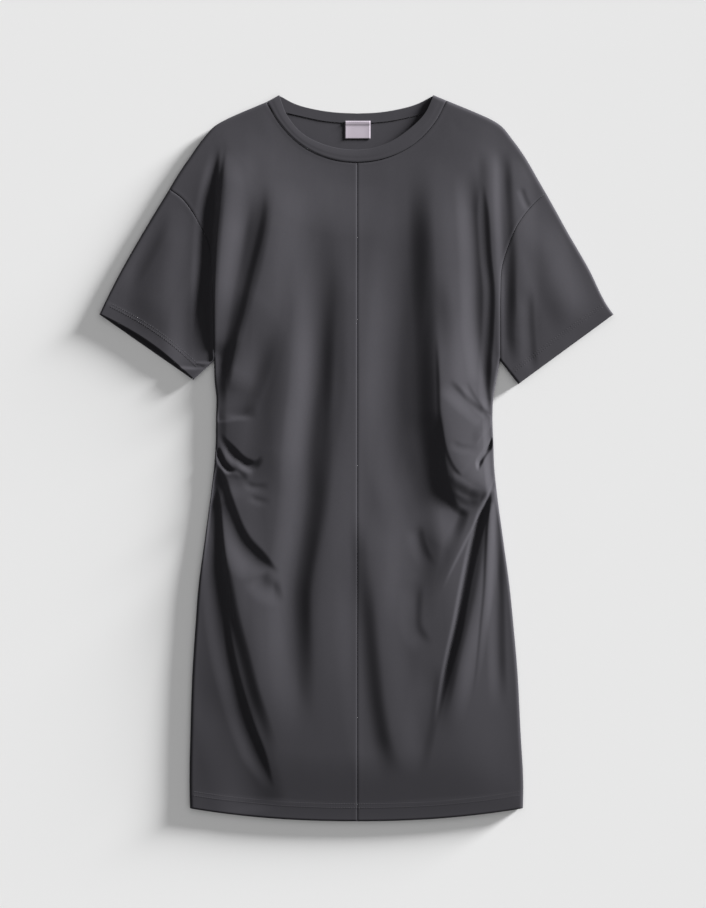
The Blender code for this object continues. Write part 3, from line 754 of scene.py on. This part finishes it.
@dataclass(frozen=True)
class JerseyFinish:
    """Fine matt jersey: heathered, a little streaked along its length, with faint wales.

    It is darker towards the hem, where the photo's light falls off.
    """

    name: str = "charcoal_jersey"
    light: tuple[float, float, float, float] = (0.0655, 0.063, 0.0718, 1.0)
    deep: tuple[float, float, float, float] = (0.041, 0.0396, 0.0452, 1.0)
    # painted shade: the colour the jersey darkens to near the hem, standing in for light that falls off
    # there
    low: tuple[float, float, float, float] = (0.031, 0.03, 0.0345, 1.0)
    wale: float = 0.9
    course: float = 0.75
    relief: float = 0.012
    roughness: float = 0.92
    sheen: float = 0.12
    specular: float = 0.16
    streak: tuple[float, float, float] = (1.0, 0.3, 1.0)
    cloud_scale: float = 9.0
    streak_scale: float = 55.0
    heather_scale: float = 420.0
    skirt_top: float = -0.02
    skirt_hem: float = -0.44
    painted_hem_shade_share: float = 0.66

    def material(self) -> bpy.types.Material:
        """Build the jersey's nodes."""
        bench = Bench(self.name)
        place = bench.node("ShaderNodeTexCoord").outputs["Object"]
        knit = bench.node("ShaderNodeUVMap", {"uv_map": "knit"}).outputs["UV"]
        parts = bench.node("ShaderNodeSeparateXYZ", None, {0: knit})
        across, up = bench.wire(parts.outputs[0]), bench.wire(parts.outputs[1])
        wales = (across * (math.pi / (self.wale * MM))).sine().size()
        courses = (up * (math.pi / (self.course * MM))).sine().size()
        cloud = bench.noise(place, self.cloud_scale, 3.0)
        along = bench.node("ShaderNodeMapping", None, {"Vector": place, "Scale": self.streak})
        streaks = bench.noise(along.outputs[0], self.streak_scale, 3.0)
        heather = bench.noise(place, self.heather_scale, 2.0)
        worn = cloud * 0.35 + streaks * 0.35 + heather * 0.3
        colour = bench.mix(worn, self.deep, self.light)
        rows = bench.node("ShaderNodeSeparateXYZ", None, {0: place})
        # painted shade: the base colour darkens towards the hem, standing in for light that falls off there
        skirt = bench.node("ShaderNodeMapRange", {"interpolation_type": "SMOOTHSTEP"},
                           {0: rows.outputs[1], 1: self.skirt_top, 2: self.skirt_hem, 3: 0.0,
                            4: self.painted_hem_shade_share})
        bench.feed(bench.shader.inputs["Base Color"], bench.mix(skirt.outputs[0], colour, self.low))
        bench.feed(bench.shader.inputs["Roughness"], self.roughness + (heather - 0.5) * 0.1)
        height = wales * 0.6 + courses * 0.4 + heather * 0.5
        bump = bench.node("ShaderNodeBump", None,
                          {"Strength": 0.6, "Distance": self.relief * MM, "Height": height})
        bench.feed(bench.shader.inputs["Normal"], bump.outputs[0])
        bench.shader.inputs["Specular IOR Level"].default_value = self.specular
        bench.shader.inputs["Sheen Weight"].default_value = self.sheen
        bench.shader.inputs["Sheen Roughness"].default_value = 0.5
        bench.shader.inputs["Sheen Tint"].default_value = (0.62, 0.6, 0.68, 1.0)
        return bench.material


@dataclass(frozen=True)
class TapeFinish:
    """Smooth woven label tape, bare."""

    name: str = "label_weave"
    pale: tuple[float, float, float, float] = (0.52, 0.46, 0.53, 1.0)
    shade: tuple[float, float, float, float] = (0.42, 0.37, 0.43, 1.0)
    thread: float = 0.45
    relief: float = 0.015

    def material(self) -> bpy.types.Material:
        """Build the tape's nodes."""
        bench = Bench(self.name)
        place = bench.node("ShaderNodeTexCoord").outputs["Object"]
        knit = bench.node("ShaderNodeUVMap", {"uv_map": "knit"}).outputs["UV"]
        parts = bench.node("ShaderNodeSeparateXYZ", None, {0: knit})
        rate = math.pi / (self.thread * MM)
        warp = (bench.wire(parts.outputs[0]) * rate).sine().size()
        weft = (bench.wire(parts.outputs[1]) * rate).sine().size()
        weave = warp * weft
        cloud = bench.noise(place, 60.0, 2.0)
        tone = weave * 0.35 + cloud * 0.65
        bench.feed(bench.shader.inputs["Base Color"], bench.mix(tone, self.shade, self.pale))
        bench.feed(bench.shader.inputs["Roughness"], 0.6 + weave * 0.15)
        bump = bench.node("ShaderNodeBump", None,
                          {"Strength": 0.6, "Distance": self.relief * MM, "Height": weave})
        bench.feed(bench.shader.inputs["Normal"], bump.outputs[0])
        bench.shader.inputs["Sheen Weight"].default_value = 0.1
        return bench.material


@dataclass(frozen=True)
class ThreadFinish:
    """Sewing thread, a shade lighter than the jersey."""

    name: str
    colour: tuple[float, float, float, float]

    def material(self) -> bpy.types.Material:
        """Build the thread's nodes."""
        bench = Bench(self.name)
        place = bench.node("ShaderNodeTexCoord").outputs["Object"]
        twist = bench.noise(place, 900.0, 1.0)
        dark = tuple(0.7 * value for value in self.colour[:3]) + (1.0,)
        bench.feed(bench.shader.inputs["Base Color"], bench.mix(twist, dark, self.colour))
        bench.feed(bench.shader.inputs["Roughness"], 0.55 + twist * 0.2)
        return bench.material


@dataclass(frozen=True)
class FloorFinish:
    """Plain pale floor."""

    name: str = "pale_floor"
    colour: tuple[float, float, float, float] = (0.8, 0.8, 0.8, 1.0)

    def material(self) -> bpy.types.Material:
        """Build the floor's nodes."""
        bench = Bench(self.name)
        bench.shader.inputs["Base Color"].default_value = self.colour
        bench.shader.inputs["Roughness"].default_value = 1.0
        bench.shader.inputs["Specular IOR Level"].default_value = 0.0
        return bench.material


# Pieces


@dataclass
class Body:
    """Front halves and back."""

    jersey: bpy.types.Material
    inner_pitch: float = 2.9
    outer_pitch: float = 1.6
    row_pitch: float = 2.6
    gather_pitch: float = 1.7
    gather_rows: tuple[float, float] = (0.34, 0.68)
    back_pitch: float = 4.5
    width: float = 205.0
    length: float = 820.0
    armhole: float = 228.0
    corner_drop: float = 0.9
    seam_lines: tuple[float, ...] = (0.5, 1.1, 1.9, 3.0)

    def columns(self, fine: bool) -> Array:
        """Grid columns from the centre to the side, closer at the gathers on a fine panel."""
        inner = self.inner_pitch if fine else self.back_pitch
        outer = self.outer_pitch if fine else self.back_pitch
        neck = even_lines(0.0, PATTERN.neck_share, self.width, inner)
        if fine:
            close = np.array(self.seam_lines) / self.width
            neck = np.concatenate([[0.0], close, neck[neck > close[-1] + 0.4 * inner / self.width]])
        return np.concatenate([neck, even_lines(PATTERN.neck_share, 1.0, self.width, outer)[1:]])

    def rows(self, fine: bool) -> Array:
        """Grid rows from the hem to the shoulder, with the hem's step among them."""
        pitch = self.row_pitch if fine else self.back_pitch
        gather = self.gather_pitch if fine else self.back_pitch
        low, high = self.gather_rows
        start = SIZES.hem_depth - SIZES.hem_lead
        step = np.array([start, start + SIZES.hem_ease]) / self.length
        hem = even_lines(0.0, step[0], self.length, pitch)
        side = (even_lines(step[1], low, self.length, pitch), even_lines(low, high, self.length, gather),
                even_lines(high, PATTERN.side_share, self.length, pitch))
        arm_size = self.armhole / (1.0 - PATTERN.side_share)
        arm = even_lines(PATTERN.side_share, 1.0, arm_size, pitch)
        return np.concatenate([hem, side[0], side[1][1:], side[2][1:], arm[1:]])

    def with_rim(self, shares: Array, pivot: float, size: float, closed: bool) -> tuple[Array, Array]:
        """Grid lines whose last one is replaced by the rim's, and each one's drop."""
        rim, rim_drop = DRAPE.rim_lines(size, closed)
        squeeze = (rim[0] - pivot) / (1.0 - pivot)
        inner = np.where(shares > pivot, pivot + (shares - pivot) * squeeze, shares)
        return np.concatenate([inner[:-1], rim]), np.concatenate([np.zeros(len(inner) - 1), rim_drop])

    def grid(self, cut: Cut, neck: Points, centre: float, fine: bool) -> tuple[Array, Array, Array]:
        """Places of half a panel.

        Args:
            cut: the outlines.
            neck: the neckline.
            centre: x of its inner edge.
            fine: whether the grid follows gathers and a centre seam.

        Returns:
            Places in the plane, their drop to the outer seam, and their share of the length.
        """
        columns, rows = self.columns(fine), self.rows(fine)
        extra = len(DRAPE.rim_lines(1.0, True)[0]) - 1
        shape = (len(columns) + extra, len(rows) + extra)
        u, v, drop = np.zeros(shape), np.zeros(shape), np.zeros(shape)
        arm_size = self.armhole / (1.0 - PATTERN.side_share)
        for i in range(shape[0]):
            shut = i >= len(columns) or columns[i] > PATTERN.neck_share - 1e-6
            v[i], drop[i] = self.with_rim(rows, PATTERN.side_share, arm_size, shut)
            if i < len(columns) and abs(columns[i] - PATTERN.neck_share) < 1e-6:
                drop[i] *= self.corner_drop
        for j in range(shape[1]):
            shut = j < len(rows) and rows[j] < PATTERN.side_share + 1e-6
            u[:, j], side_drop = self.with_rim(columns, PATTERN.neck_share, self.width, shut)
            if j < len(rows) and abs(rows[j] - PATTERN.side_share) < 1e-6:
                side_drop = side_drop * self.corner_drop
            drop[:, j] = np.maximum(drop[:, j], side_drop)
        neck_route, shoulder_route = smooth_route(neck), smooth_route(cut.shoulder)
        corner = PATTERN.hem_corner(cut.half)

        def top_edge(share: Array) -> Array:
            """Neckline, then the shoulder line."""
            shoulder = shoulder_route((share - PATTERN.neck_share) / (1.0 - PATTERN.neck_share))
            neckline = neck_route(share / PATTERN.neck_share)
            return np.where((share > PATTERN.neck_share)[..., None], shoulder, neckline)

        def bottom_edge(share: Array) -> Array:
            """Hem from the centre to its corner."""
            return PATTERN.hem_point(centre + (corner - centre) * share)

        def centre_edge(share: Array) -> Array:
            """Straight edge from the hem up to the neckline."""
            y = SIZES.bottom + (neck[0][1] - SIZES.bottom) * share
            return np.stack([np.full_like(share, centre), y], axis=-1)

        def side_edge(share: Array) -> Array:
            """Side seam, then the armhole."""
            return PATTERN.outer_edge(cut.half, share)

        return patch(bottom_edge, top_edge, centre_edge, side_edge, u, v), drop, v

    def front(self, half: Half) -> bpy.types.Object:
        """One half of the front."""
        cut = CUTS[half]
        centre = SIZES.centre + half.value * SIZES.seam_gap / 2
        plane, drop, v = self.grid(cut, cut.neck, centre, True)
        top = DRAPE.top(plane) + hem_turn(v * self.length)
        seam = DRAPE.seam_height + SIZES.seam_gap / 2
        places = lifted(plane, top + (seam - top) * drop)
        side = half.name.lower()
        piece = Skin(f"front_{side}_jersey", places, SIZES.wall, flip=half is Half.LEFT).build()
        piece.data.materials.append(self.jersey)
        hand_over(piece, (f"front_panel_{side}",))
        return piece

    def back(self) -> bpy.types.Object:
        """The whole back, flat on the floor and curled up to its seams."""
        halves = []
        for cut in CUTS.values():
            plane, drop, _ = self.grid(cut, cut.back_neck, SIZES.centre, False)
            halves.append(lifted(plane, (DRAPE.seam_height - SIZES.seam_gap / 2) * drop))
        places = np.concatenate([halves[0][::-1], halves[1][1:]])
        piece = Skin("back_jersey", places, SIZES.wall, flip=True).build()
        piece.data.materials.append(self.jersey)
        hand_over(piece, ("back_panel",))
        return piece


@dataclass
class Sleeves:
    """Two short sleeves, each one tube pressed flat."""

    jersey: bpy.types.Material
    pitch: float = 2.2
    armhole: float = 228.0
    length: float = 130.0
    grain: float = 55.0
    seam_lines: tuple[float, ...] = (0.5, 1.1, 1.9, 3.0)

    def across(self) -> tuple[Array, Array]:
        """Grid lines from overarm to underarm, and each one's drop."""
        rim, drop = DRAPE.rim_lines(self.armhole, True)
        inner = even_lines(1.0 - rim[0], rim[0], self.armhole, self.pitch)[1:-1]
        places = np.concatenate([1.0 - rim[::-1], inner, rim])
        return places, np.concatenate([drop[::-1], np.zeros(len(inner)), drop])

    def layer(self, cut: Cut, bow: float) -> tuple[Array, Array, Array]:
        """Places of one layer, their drop, and how far along the sleeve they are."""
        across, drop = self.across()
        sign = cut.half.value
        seam = moved_aside(smooth_route(cut.armhole), SIZES.seam_gap, sign)
        outer, inner = np.array(cut.cuff, dtype=float)
        along = inner - outer
        inward = np.array([-sign * abs(along[1]), abs(along[0])]) / np.linalg.norm(along)
        over = smooth_route((tuple(seam(np.array(1.0))),) + cut.overarm)
        under = smooth_route((tuple(seam(np.array(0.0))), cut.cuff[1]))

        def armhole_edge(share: Array) -> Array:
            """Armhole seam from the overarm to the underarm."""
            return seam(1.0 - share)

        def cuff_edge(share: Array) -> Array:
            """Cuff from the overarm to the underarm."""
            return outer + share[..., None] * along + bow * np.sin(np.pi * share)[..., None] * inward

        length = np.linalg.norm(cuff_edge(across) - armhole_edge(across), axis=-1)[:, None]
        close = np.array(self.seam_lines)[None] / length
        body = 1.0 - (SIZES.cuff_depth + 1.0) / length
        steps = even_lines(0.0, 1.0, self.length, self.pitch)[None, 1:]
        cuff = np.linspace(SIZES.cuff_depth - 1.0, 0.0, 9)[None] / length
        rings = np.concatenate([0.0 * length, close, close[:, -1:] + (body - close[:, -1:]) * steps,
                                1.0 - cuff], axis=1)
        u = np.repeat(across[:, None], rings.shape[1], axis=1)
        plane = patch(armhole_edge, cuff_edge, over, under, u, rings)
        relief = np.zeros(rings.shape)
        relief[:, -cuff.shape[1]:] = SIZES.cuff_step
        return plane, np.repeat(drop[:, None], rings.shape[1], axis=1), relief

    def build(self, half: Half) -> bpy.types.Object:
        """One sleeve, with its fold at the overarm."""
        cut = CUTS[half]
        front, drop, relief = self.layer(cut, cut.bow)
        back, back_drop, _ = self.layer(cut, 0.0)
        top = DRAPE.top(front) + relief
        over = lifted(front, top + (DRAPE.seam_height - top) * drop)
        under = lifted(back, DRAPE.seam_height * back_drop)
        places = np.concatenate([over, under[::-1][1:-1]])
        side = half.name.lower()
        grain = half.value * math.radians(self.grain)
        piece = Skin(f"sleeve_{side}_jersey", places, SIZES.wall, wrap=True, flip=half is Half.LEFT,
                     grain=grain).build()
        piece.data.materials.append(self.jersey)
        hand_over(piece, (f"sleeve_{side}",))
        return piece


@dataclass
class Neck:
    """Neckband and bare label."""

    jersey: bpy.types.Material
    tape: bpy.types.Material
    pitch: float = 1.8
    length: float = 140.0
    step: float = 0.45
    crown: float = 0.26
    fall: float = 0.35
    join: float = 0.3
    join_depth: float = 0.2
    join_width: float = 0.05
    seam_depth: float = 0.25
    label_box: tuple[float, float, float, float] = (-14.3, 17.3, 398.5, 420.6)
    label_step: float = 415.0
    label_curl: float = 0.25

    def layer(self, seam: str, edge: str, widths: Array) -> tuple[Array, Array]:
        """Places of the band's front or back from left to right, and their drop."""
        rim, rim_drop = DRAPE.rim_lines(self.length, True)
        inner = even_lines(0.0, rim[0], self.length, self.pitch)[:-1]
        columns = np.concatenate([inner, rim])
        drop = np.concatenate([np.zeros(len(inner)), rim_drop])
        halves = []
        for cut in CUTS.values():
            start = smooth_route(getattr(cut, seam))(columns)[:, None]
            width = smooth_route(getattr(cut, edge))(columns)[:, None] - start
            clear = SIZES.seam_gap / np.linalg.norm(width, axis=-1, keepdims=True)
            halves.append(start + width * (clear + (1.0 - clear) * widths[None, :, None]))
        plane = np.concatenate([halves[0][::-1], halves[1][1:]])
        return plane, np.repeat(np.concatenate([drop[::-1], drop[1:]])[:, None], len(widths), axis=1)

    def band(self) -> bpy.types.Object:
        """The band as one ring, folded flat at the shoulder points."""
        widths = np.concatenate([[0.0, 0.03, 0.08], np.linspace(0.14, 0.92, 9), [0.97, 1.0]])
        front, drop = self.layer("neck", "neck_edge", widths)
        back, back_drop = self.layer("back_neck", "back_edge", widths)
        across = widths[None, :]
        top = DRAPE.top(front[:, -1:]) + self.step + self.crown * np.sin(np.pi * across)
        top = top - self.fall * across
        top = top - self.join_depth * np.exp(-(((across - self.join) / self.join_width) ** 2))
        top = top - self.seam_depth * np.exp(-((across / self.join_width) ** 2))
        over = lifted(front, top + (DRAPE.seam_height - top) * drop)
        under = lifted(back, DRAPE.seam_height * back_drop)
        places = np.concatenate([over, under[::-1][1:-1]])
        piece = Skin("neckband_jersey", places, SIZES.band_wall, wrap=True).build()
        piece.data.materials.append(self.jersey)
        hand_over(piece, ("neckband",))
        return piece

    def label(self) -> bpy.types.Object:
        """The bare label on the back's inner side."""
        left, right, bottom, top = self.label_box
        x, y = np.meshgrid(np.linspace(left, right, 24), np.linspace(bottom, top, 18), indexing="ij")
        rise = (SIZES.band_wall - SIZES.wall) * ease((y - self.label_step) / 2.0)
        curl = self.label_curl * ((x - (left + right) / 2) / (right - left) * 2.0) ** 4
        z = SIZES.wall + rise + SIZES.seam_gap + SIZES.label_wall + curl
        piece = Skin("label_tape", lifted(np.stack([x, y], axis=-1), z), SIZES.label_wall).build()
        piece.data.materials.append(self.tape)
        hand_over(piece, ("label",))
        size = ((right - left) * MM, (top - bottom) * MM)
        return piece


@dataclass
class Sewing:
    """Stitches, made along lines by one node tree."""

    thread: bpy.types.Material
    label_thread: bpy.types.Material
    hem_rows: tuple[float, ...] = (17.0, 21.8)
    cuff_rows: tuple[float, ...] = (15.0, 18.6)
    pitch: float = 3.1
    stitch: float = 2.3
    width: float = 0.55
    proud: float = 0.12
    inset: float = 6.0
    cuff_share: float = 0.05
    label_pitch: float = 2.2
    label_stitch: float = 1.6
    label_width: float = 0.35

    def __post_init__(self) -> None:
        """Make the one node tree that every row of stitches shares."""
        self.group, self.inputs = self.tree()

    def tree(self) -> tuple[bpy.types.NodeTree, dict[str, str]]:
        """The node tree.

        Returns:
            The tree, and the identifier of each named input.
        """
        tree = bpy.data.node_groups.new("stitches along lines", "GeometryNodeTree")
        face = tree.interface
        face.new_socket("Geometry", in_out="INPUT", socket_type="NodeSocketGeometry")
        names = {}
        for name in ("Pitch", "Stitch", "Width"):
            names[name] = face.new_socket(name, in_out="INPUT", socket_type="NodeSocketFloat").identifier
        material = face.new_socket("Thread", in_out="INPUT", socket_type="NodeSocketMaterial")
        names["Thread"] = material.identifier
        face.new_socket("Geometry", in_out="OUTPUT", socket_type="NodeSocketGeometry")
        made, link = tree.nodes.new, tree.links.new
        source, sink = made("NodeGroupInput"), made("NodeGroupOutput")
        curve, spaced = made("GeometryNodeMeshToCurve"), made("GeometryNodeResampleCurve")
        spaced.mode = "LENGTH"
        bead = made("GeometryNodeMeshUVSphere")
        bead.inputs["Segments"].default_value = 6
        bead.inputs["Rings"].default_value = 4
        bead.inputs["Radius"].default_value = 0.5
        tangent, turned = made("GeometryNodeInputTangent"), made("FunctionNodeAlignRotationToVector")
        turned.axis = "Z"
        size, copies = made("ShaderNodeCombineXYZ"), made("GeometryNodeInstanceOnPoints")
        smooth, real = made("GeometryNodeSetShadeSmooth"), made("GeometryNodeRealizeInstances")
        dressed = made("GeometryNodeSetMaterial")
        link(source.outputs["Geometry"], curve.inputs[0])
        link(curve.outputs[0], spaced.inputs["Curve"])
        link(source.outputs["Pitch"], spaced.inputs["Length"])
        link(tangent.outputs[0], turned.inputs["Vector"])
        link(source.outputs["Width"], size.inputs[0])
        link(source.outputs["Width"], size.inputs[1])
        link(source.outputs["Stitch"], size.inputs[2])
        link(spaced.outputs[0], copies.inputs["Points"])
        link(bead.outputs["Mesh"], smooth.inputs[0])
        link(smooth.outputs[0], copies.inputs["Instance"])
        link(turned.outputs[0], copies.inputs["Rotation"])
        link(size.outputs[0], copies.inputs["Scale"])
        link(copies.outputs[0], real.inputs[0])
        link(real.outputs[0], dressed.inputs["Geometry"])
        link(source.outputs["Thread"], dressed.inputs["Material"])
        link(dressed.outputs[0], sink.inputs[0])
        return tree, names

    def run(self, name: str, lines: list[Array], thread: bpy.types.Material, pitch: float,
            stitch: float, width: float) -> bpy.types.Object:
        """Sew along lines.

        Args:
            name: the piece's name.
            lines: rows of places in millimetres.
            thread: the thread's material.
            pitch, stitch, width: sizes of the stitches.

        Returns:
            The stitches as one plain mesh.
        """
        corners, edges = [], []
        for line in lines:
            edges += [(len(corners) + k, len(corners) + k + 1) for k in range(len(line) - 1)]
            corners += (line * MM).tolist()
        guide = bpy.data.meshes.new(name + "_guide")
        guide.from_pydata(corners, edges, [])
        holder = bpy.data.objects.new(name + "_guide", guide)
        bpy.context.scene.collection.objects.link(holder)
        sewing = holder.modifiers.new("stitches", "NODES")
        sewing.node_group = self.group
        sewing[self.inputs["Pitch"]] = pitch * MM
        sewing[self.inputs["Stitch"]] = stitch * MM
        sewing[self.inputs["Width"]] = width * MM
        sewing[self.inputs["Thread"]] = thread
        bpy.context.view_layer.update()
        shown = holder.evaluated_get(bpy.context.evaluated_depsgraph_get())
        mesh = bpy.data.meshes.new_from_object(shown)
        mesh.name = name
        bpy.data.objects.remove(holder, do_unlink=True)
        piece = bpy.data.objects.new(name, mesh)
        bpy.context.scene.collection.objects.link(piece)
        if not mesh.materials:
            mesh.materials.append(thread)
        hand_over(piece, ())
        return piece

    def hem(self) -> bpy.types.Object:
        """Two rows along the hem, front and back."""
        x = np.linspace(SIDE_SEAMS[0].left + self.inset, SIDE_SEAMS[0].right - self.inset, 140)
        lines = []
        for up in self.hem_rows:
            plane = PATTERN.hem_point(x) + np.array([0.0, up])
            lines.append(lifted(plane, DRAPE.top(plane) + hem_turn(np.array(up)) + self.proud))
            lines.append(lifted(plane, np.full(len(plane), self.proud)))
        return self.run("hem_stitches", lines, self.thread, self.pitch, self.stitch, self.width)

    def cuffs(self) -> bpy.types.Object:
        """Two rows round each cuff, on its upper and lower side."""
        lines = []
        for cut in CUTS.values():
            outer, inner = np.array(cut.cuff, dtype=float)
            along = (inner - outer) / np.linalg.norm(inner - outer)
            inward = np.array([-cut.half.value * abs(along[1]), abs(along[0])])
            share = np.linspace(self.cuff_share, 1.0 - self.cuff_share, 60)
            for up in self.cuff_rows:
                line = outer + share[:, None] * (inner - outer) + up * inward
                bowed = line + cut.bow * np.sin(np.pi * share)[:, None] * inward
                turned = SIZES.cuff_step * (up < SIZES.cuff_depth)
                lines.append(lifted(bowed, DRAPE.top(bowed) + turned + self.proud))
                lines.append(lifted(line, np.full(len(line), self.proud)))
        return self.run("cuff_stitches", lines, self.thread, self.pitch, self.stitch, self.width)

    def label(self, box: tuple[float, float, float, float]) -> bpy.types.Object:
        """A row across the label's top."""
        left, right, _, top = box
        x = np.linspace(left + 1.5, right - 1.5, 12)
        z = SIZES.band_wall + SIZES.seam_gap + SIZES.label_wall + self.proud
        line = np.stack([x, np.full_like(x, top - 1.4), np.full_like(x, z)], axis=-1)
        return self.run("label_stitches", [line], self.label_thread, self.label_pitch, self.label_stitch,
                        self.label_width)


class Target(Enum):
    """What a lamp shines on."""

    DRESS = "EXCLUDE"
    FLOOR = "INCLUDE"


@dataclass(frozen=True)
class Lamp:
    """A soft distant light, with its share of the brightness of a level surface."""

    name: str
    target: Target
    azimuth: float
    elevation: float
    softness: float
    share: float

    def build(self, floor: bpy.types.Object) -> None:
        """Hang the lamp.

        Args:
            floor: the floor, which the lamp lights alone or leaves out.
        """
        elevation, azimuth = math.radians(self.elevation), math.radians(self.azimuth)
        data = bpy.data.lights.new(self.name, "SUN")
        data.energy = self.share * math.pi / math.sin(elevation)
        data.angle = math.radians(self.softness)
        lamp = bpy.data.objects.new(self.name, data)
        towards = Vector((math.cos(azimuth) * math.cos(elevation),
                          math.sin(azimuth) * math.cos(elevation), math.sin(elevation)))
        lamp.rotation_euler = towards.to_track_quat("Z", "Y").to_euler()
        bpy.context.scene.collection.objects.link(lamp)
        lit = bpy.data.collections.new(self.name + "_lit")
        lit.objects.link(floor)
        lit.collection_objects[0].light_linking.link_state = self.target.value
        lamp.light_linking.receiver_collection = lit


@dataclass
class Studio:
    """Pale floor, soft light from the upper right, and a camera straight above."""

    floor: bpy.types.Material
    floor_size: float = 40.0
    floor_gap: float = 0.0003
    fill: float = 0.18
    lamps: tuple[Lamp, ...] = (
        Lamp("dress_key", Target.DRESS, 33.0, 14.0, 22.0, 0.82),
        Lamp("floor_key", Target.FLOOR, 33.0, 7.5, 12.0, 0.58),
        Lamp("floor_fill", Target.FLOOR, 33.0, 80.0, 90.0, 0.24),
    )
    lens: float = 100.0
    sensor: float = 36.0
    picture: tuple[int, int] = (706, 908)
    scale: float = 1.247
    middle: tuple[float, float] = (355.95, 457.5)
    cloth_height: float = 5.0

    def lay_floor(self) -> bpy.types.Object:
        """The floor that the dress lies on."""
        half, z = self.floor_size / 2, -self.floor_gap
        mesh = bpy.data.meshes.new("floor")
        mesh.from_pydata([(-half, -half, z), (half, -half, z), (half, half, z), (-half, half, z)], [],
                         [(0, 1, 2, 3)])
        mesh.materials.append(self.floor)
        floor = bpy.data.objects.new("floor", mesh)
        bpy.context.scene.collection.objects.link(floor)
        return floor

    def light(self, floor: bpy.types.Object) -> None:
        """Soft lamps over an even sky."""
        sky = bpy.data.worlds.new("studio sky")
        sky.use_nodes = True
        backdrop = sky.node_tree.nodes["Background"]
        backdrop.inputs[0].default_value = (1.0, 1.0, 1.0, 1.0)
        backdrop.inputs[1].default_value = self.fill
        bpy.context.scene.world = sky
        for lamp in self.lamps:
            lamp.build(floor)
        bpy.context.scene.view_settings.view_transform = "Standard"

    def place_camera(self) -> None:
        """A camera that sees what the photograph's frame holds."""
        width, height = self.picture
        data = bpy.data.cameras.new("camera")
        data.lens = self.lens
        data.sensor_width = self.sensor
        distance = self.lens / self.sensor * height * self.scale
        camera = bpy.data.objects.new("camera", data)
        camera.location = (((width - 1) / 2 - self.middle[0]) * self.scale * MM,
                           (self.middle[1] - (height - 1) / 2) * self.scale * MM,
                           (distance + self.cloth_height) * MM)
        bpy.context.scene.collection.objects.link(camera)
        bpy.context.scene.camera = camera

    def build(self) -> None:
        """Set up floor, light and camera."""
        self.light(self.lay_floor())
        self.place_camera()


def main() -> None:
    """Make every piece of the dress and the studio around it."""
    logging.basicConfig(level=logging.INFO, format="%(message)s")
    jersey = JerseyFinish().material()
    body = Body(jersey)
    body.back()
    body.front(Half.LEFT)
    body.front(Half.RIGHT)
    sleeves = Sleeves(jersey)
    sleeves.build(Half.LEFT)
    sleeves.build(Half.RIGHT)
    neck = Neck(jersey, TapeFinish().material())
    neck.band()
    neck.label()
    thread = ThreadFinish("charcoal_thread", (0.07, 0.067, 0.077, 1.0)).material()
    pale_thread = ThreadFinish("pale_thread", (0.5, 0.45, 0.52, 1.0)).material()
    sewing = Sewing(thread, pale_thread)
    sewing.hem()
    sewing.cuffs()
    sewing.label(neck.label_box)
    Studio(FloorFinish().material()).build()


if __name__ == "__main__":
    main()
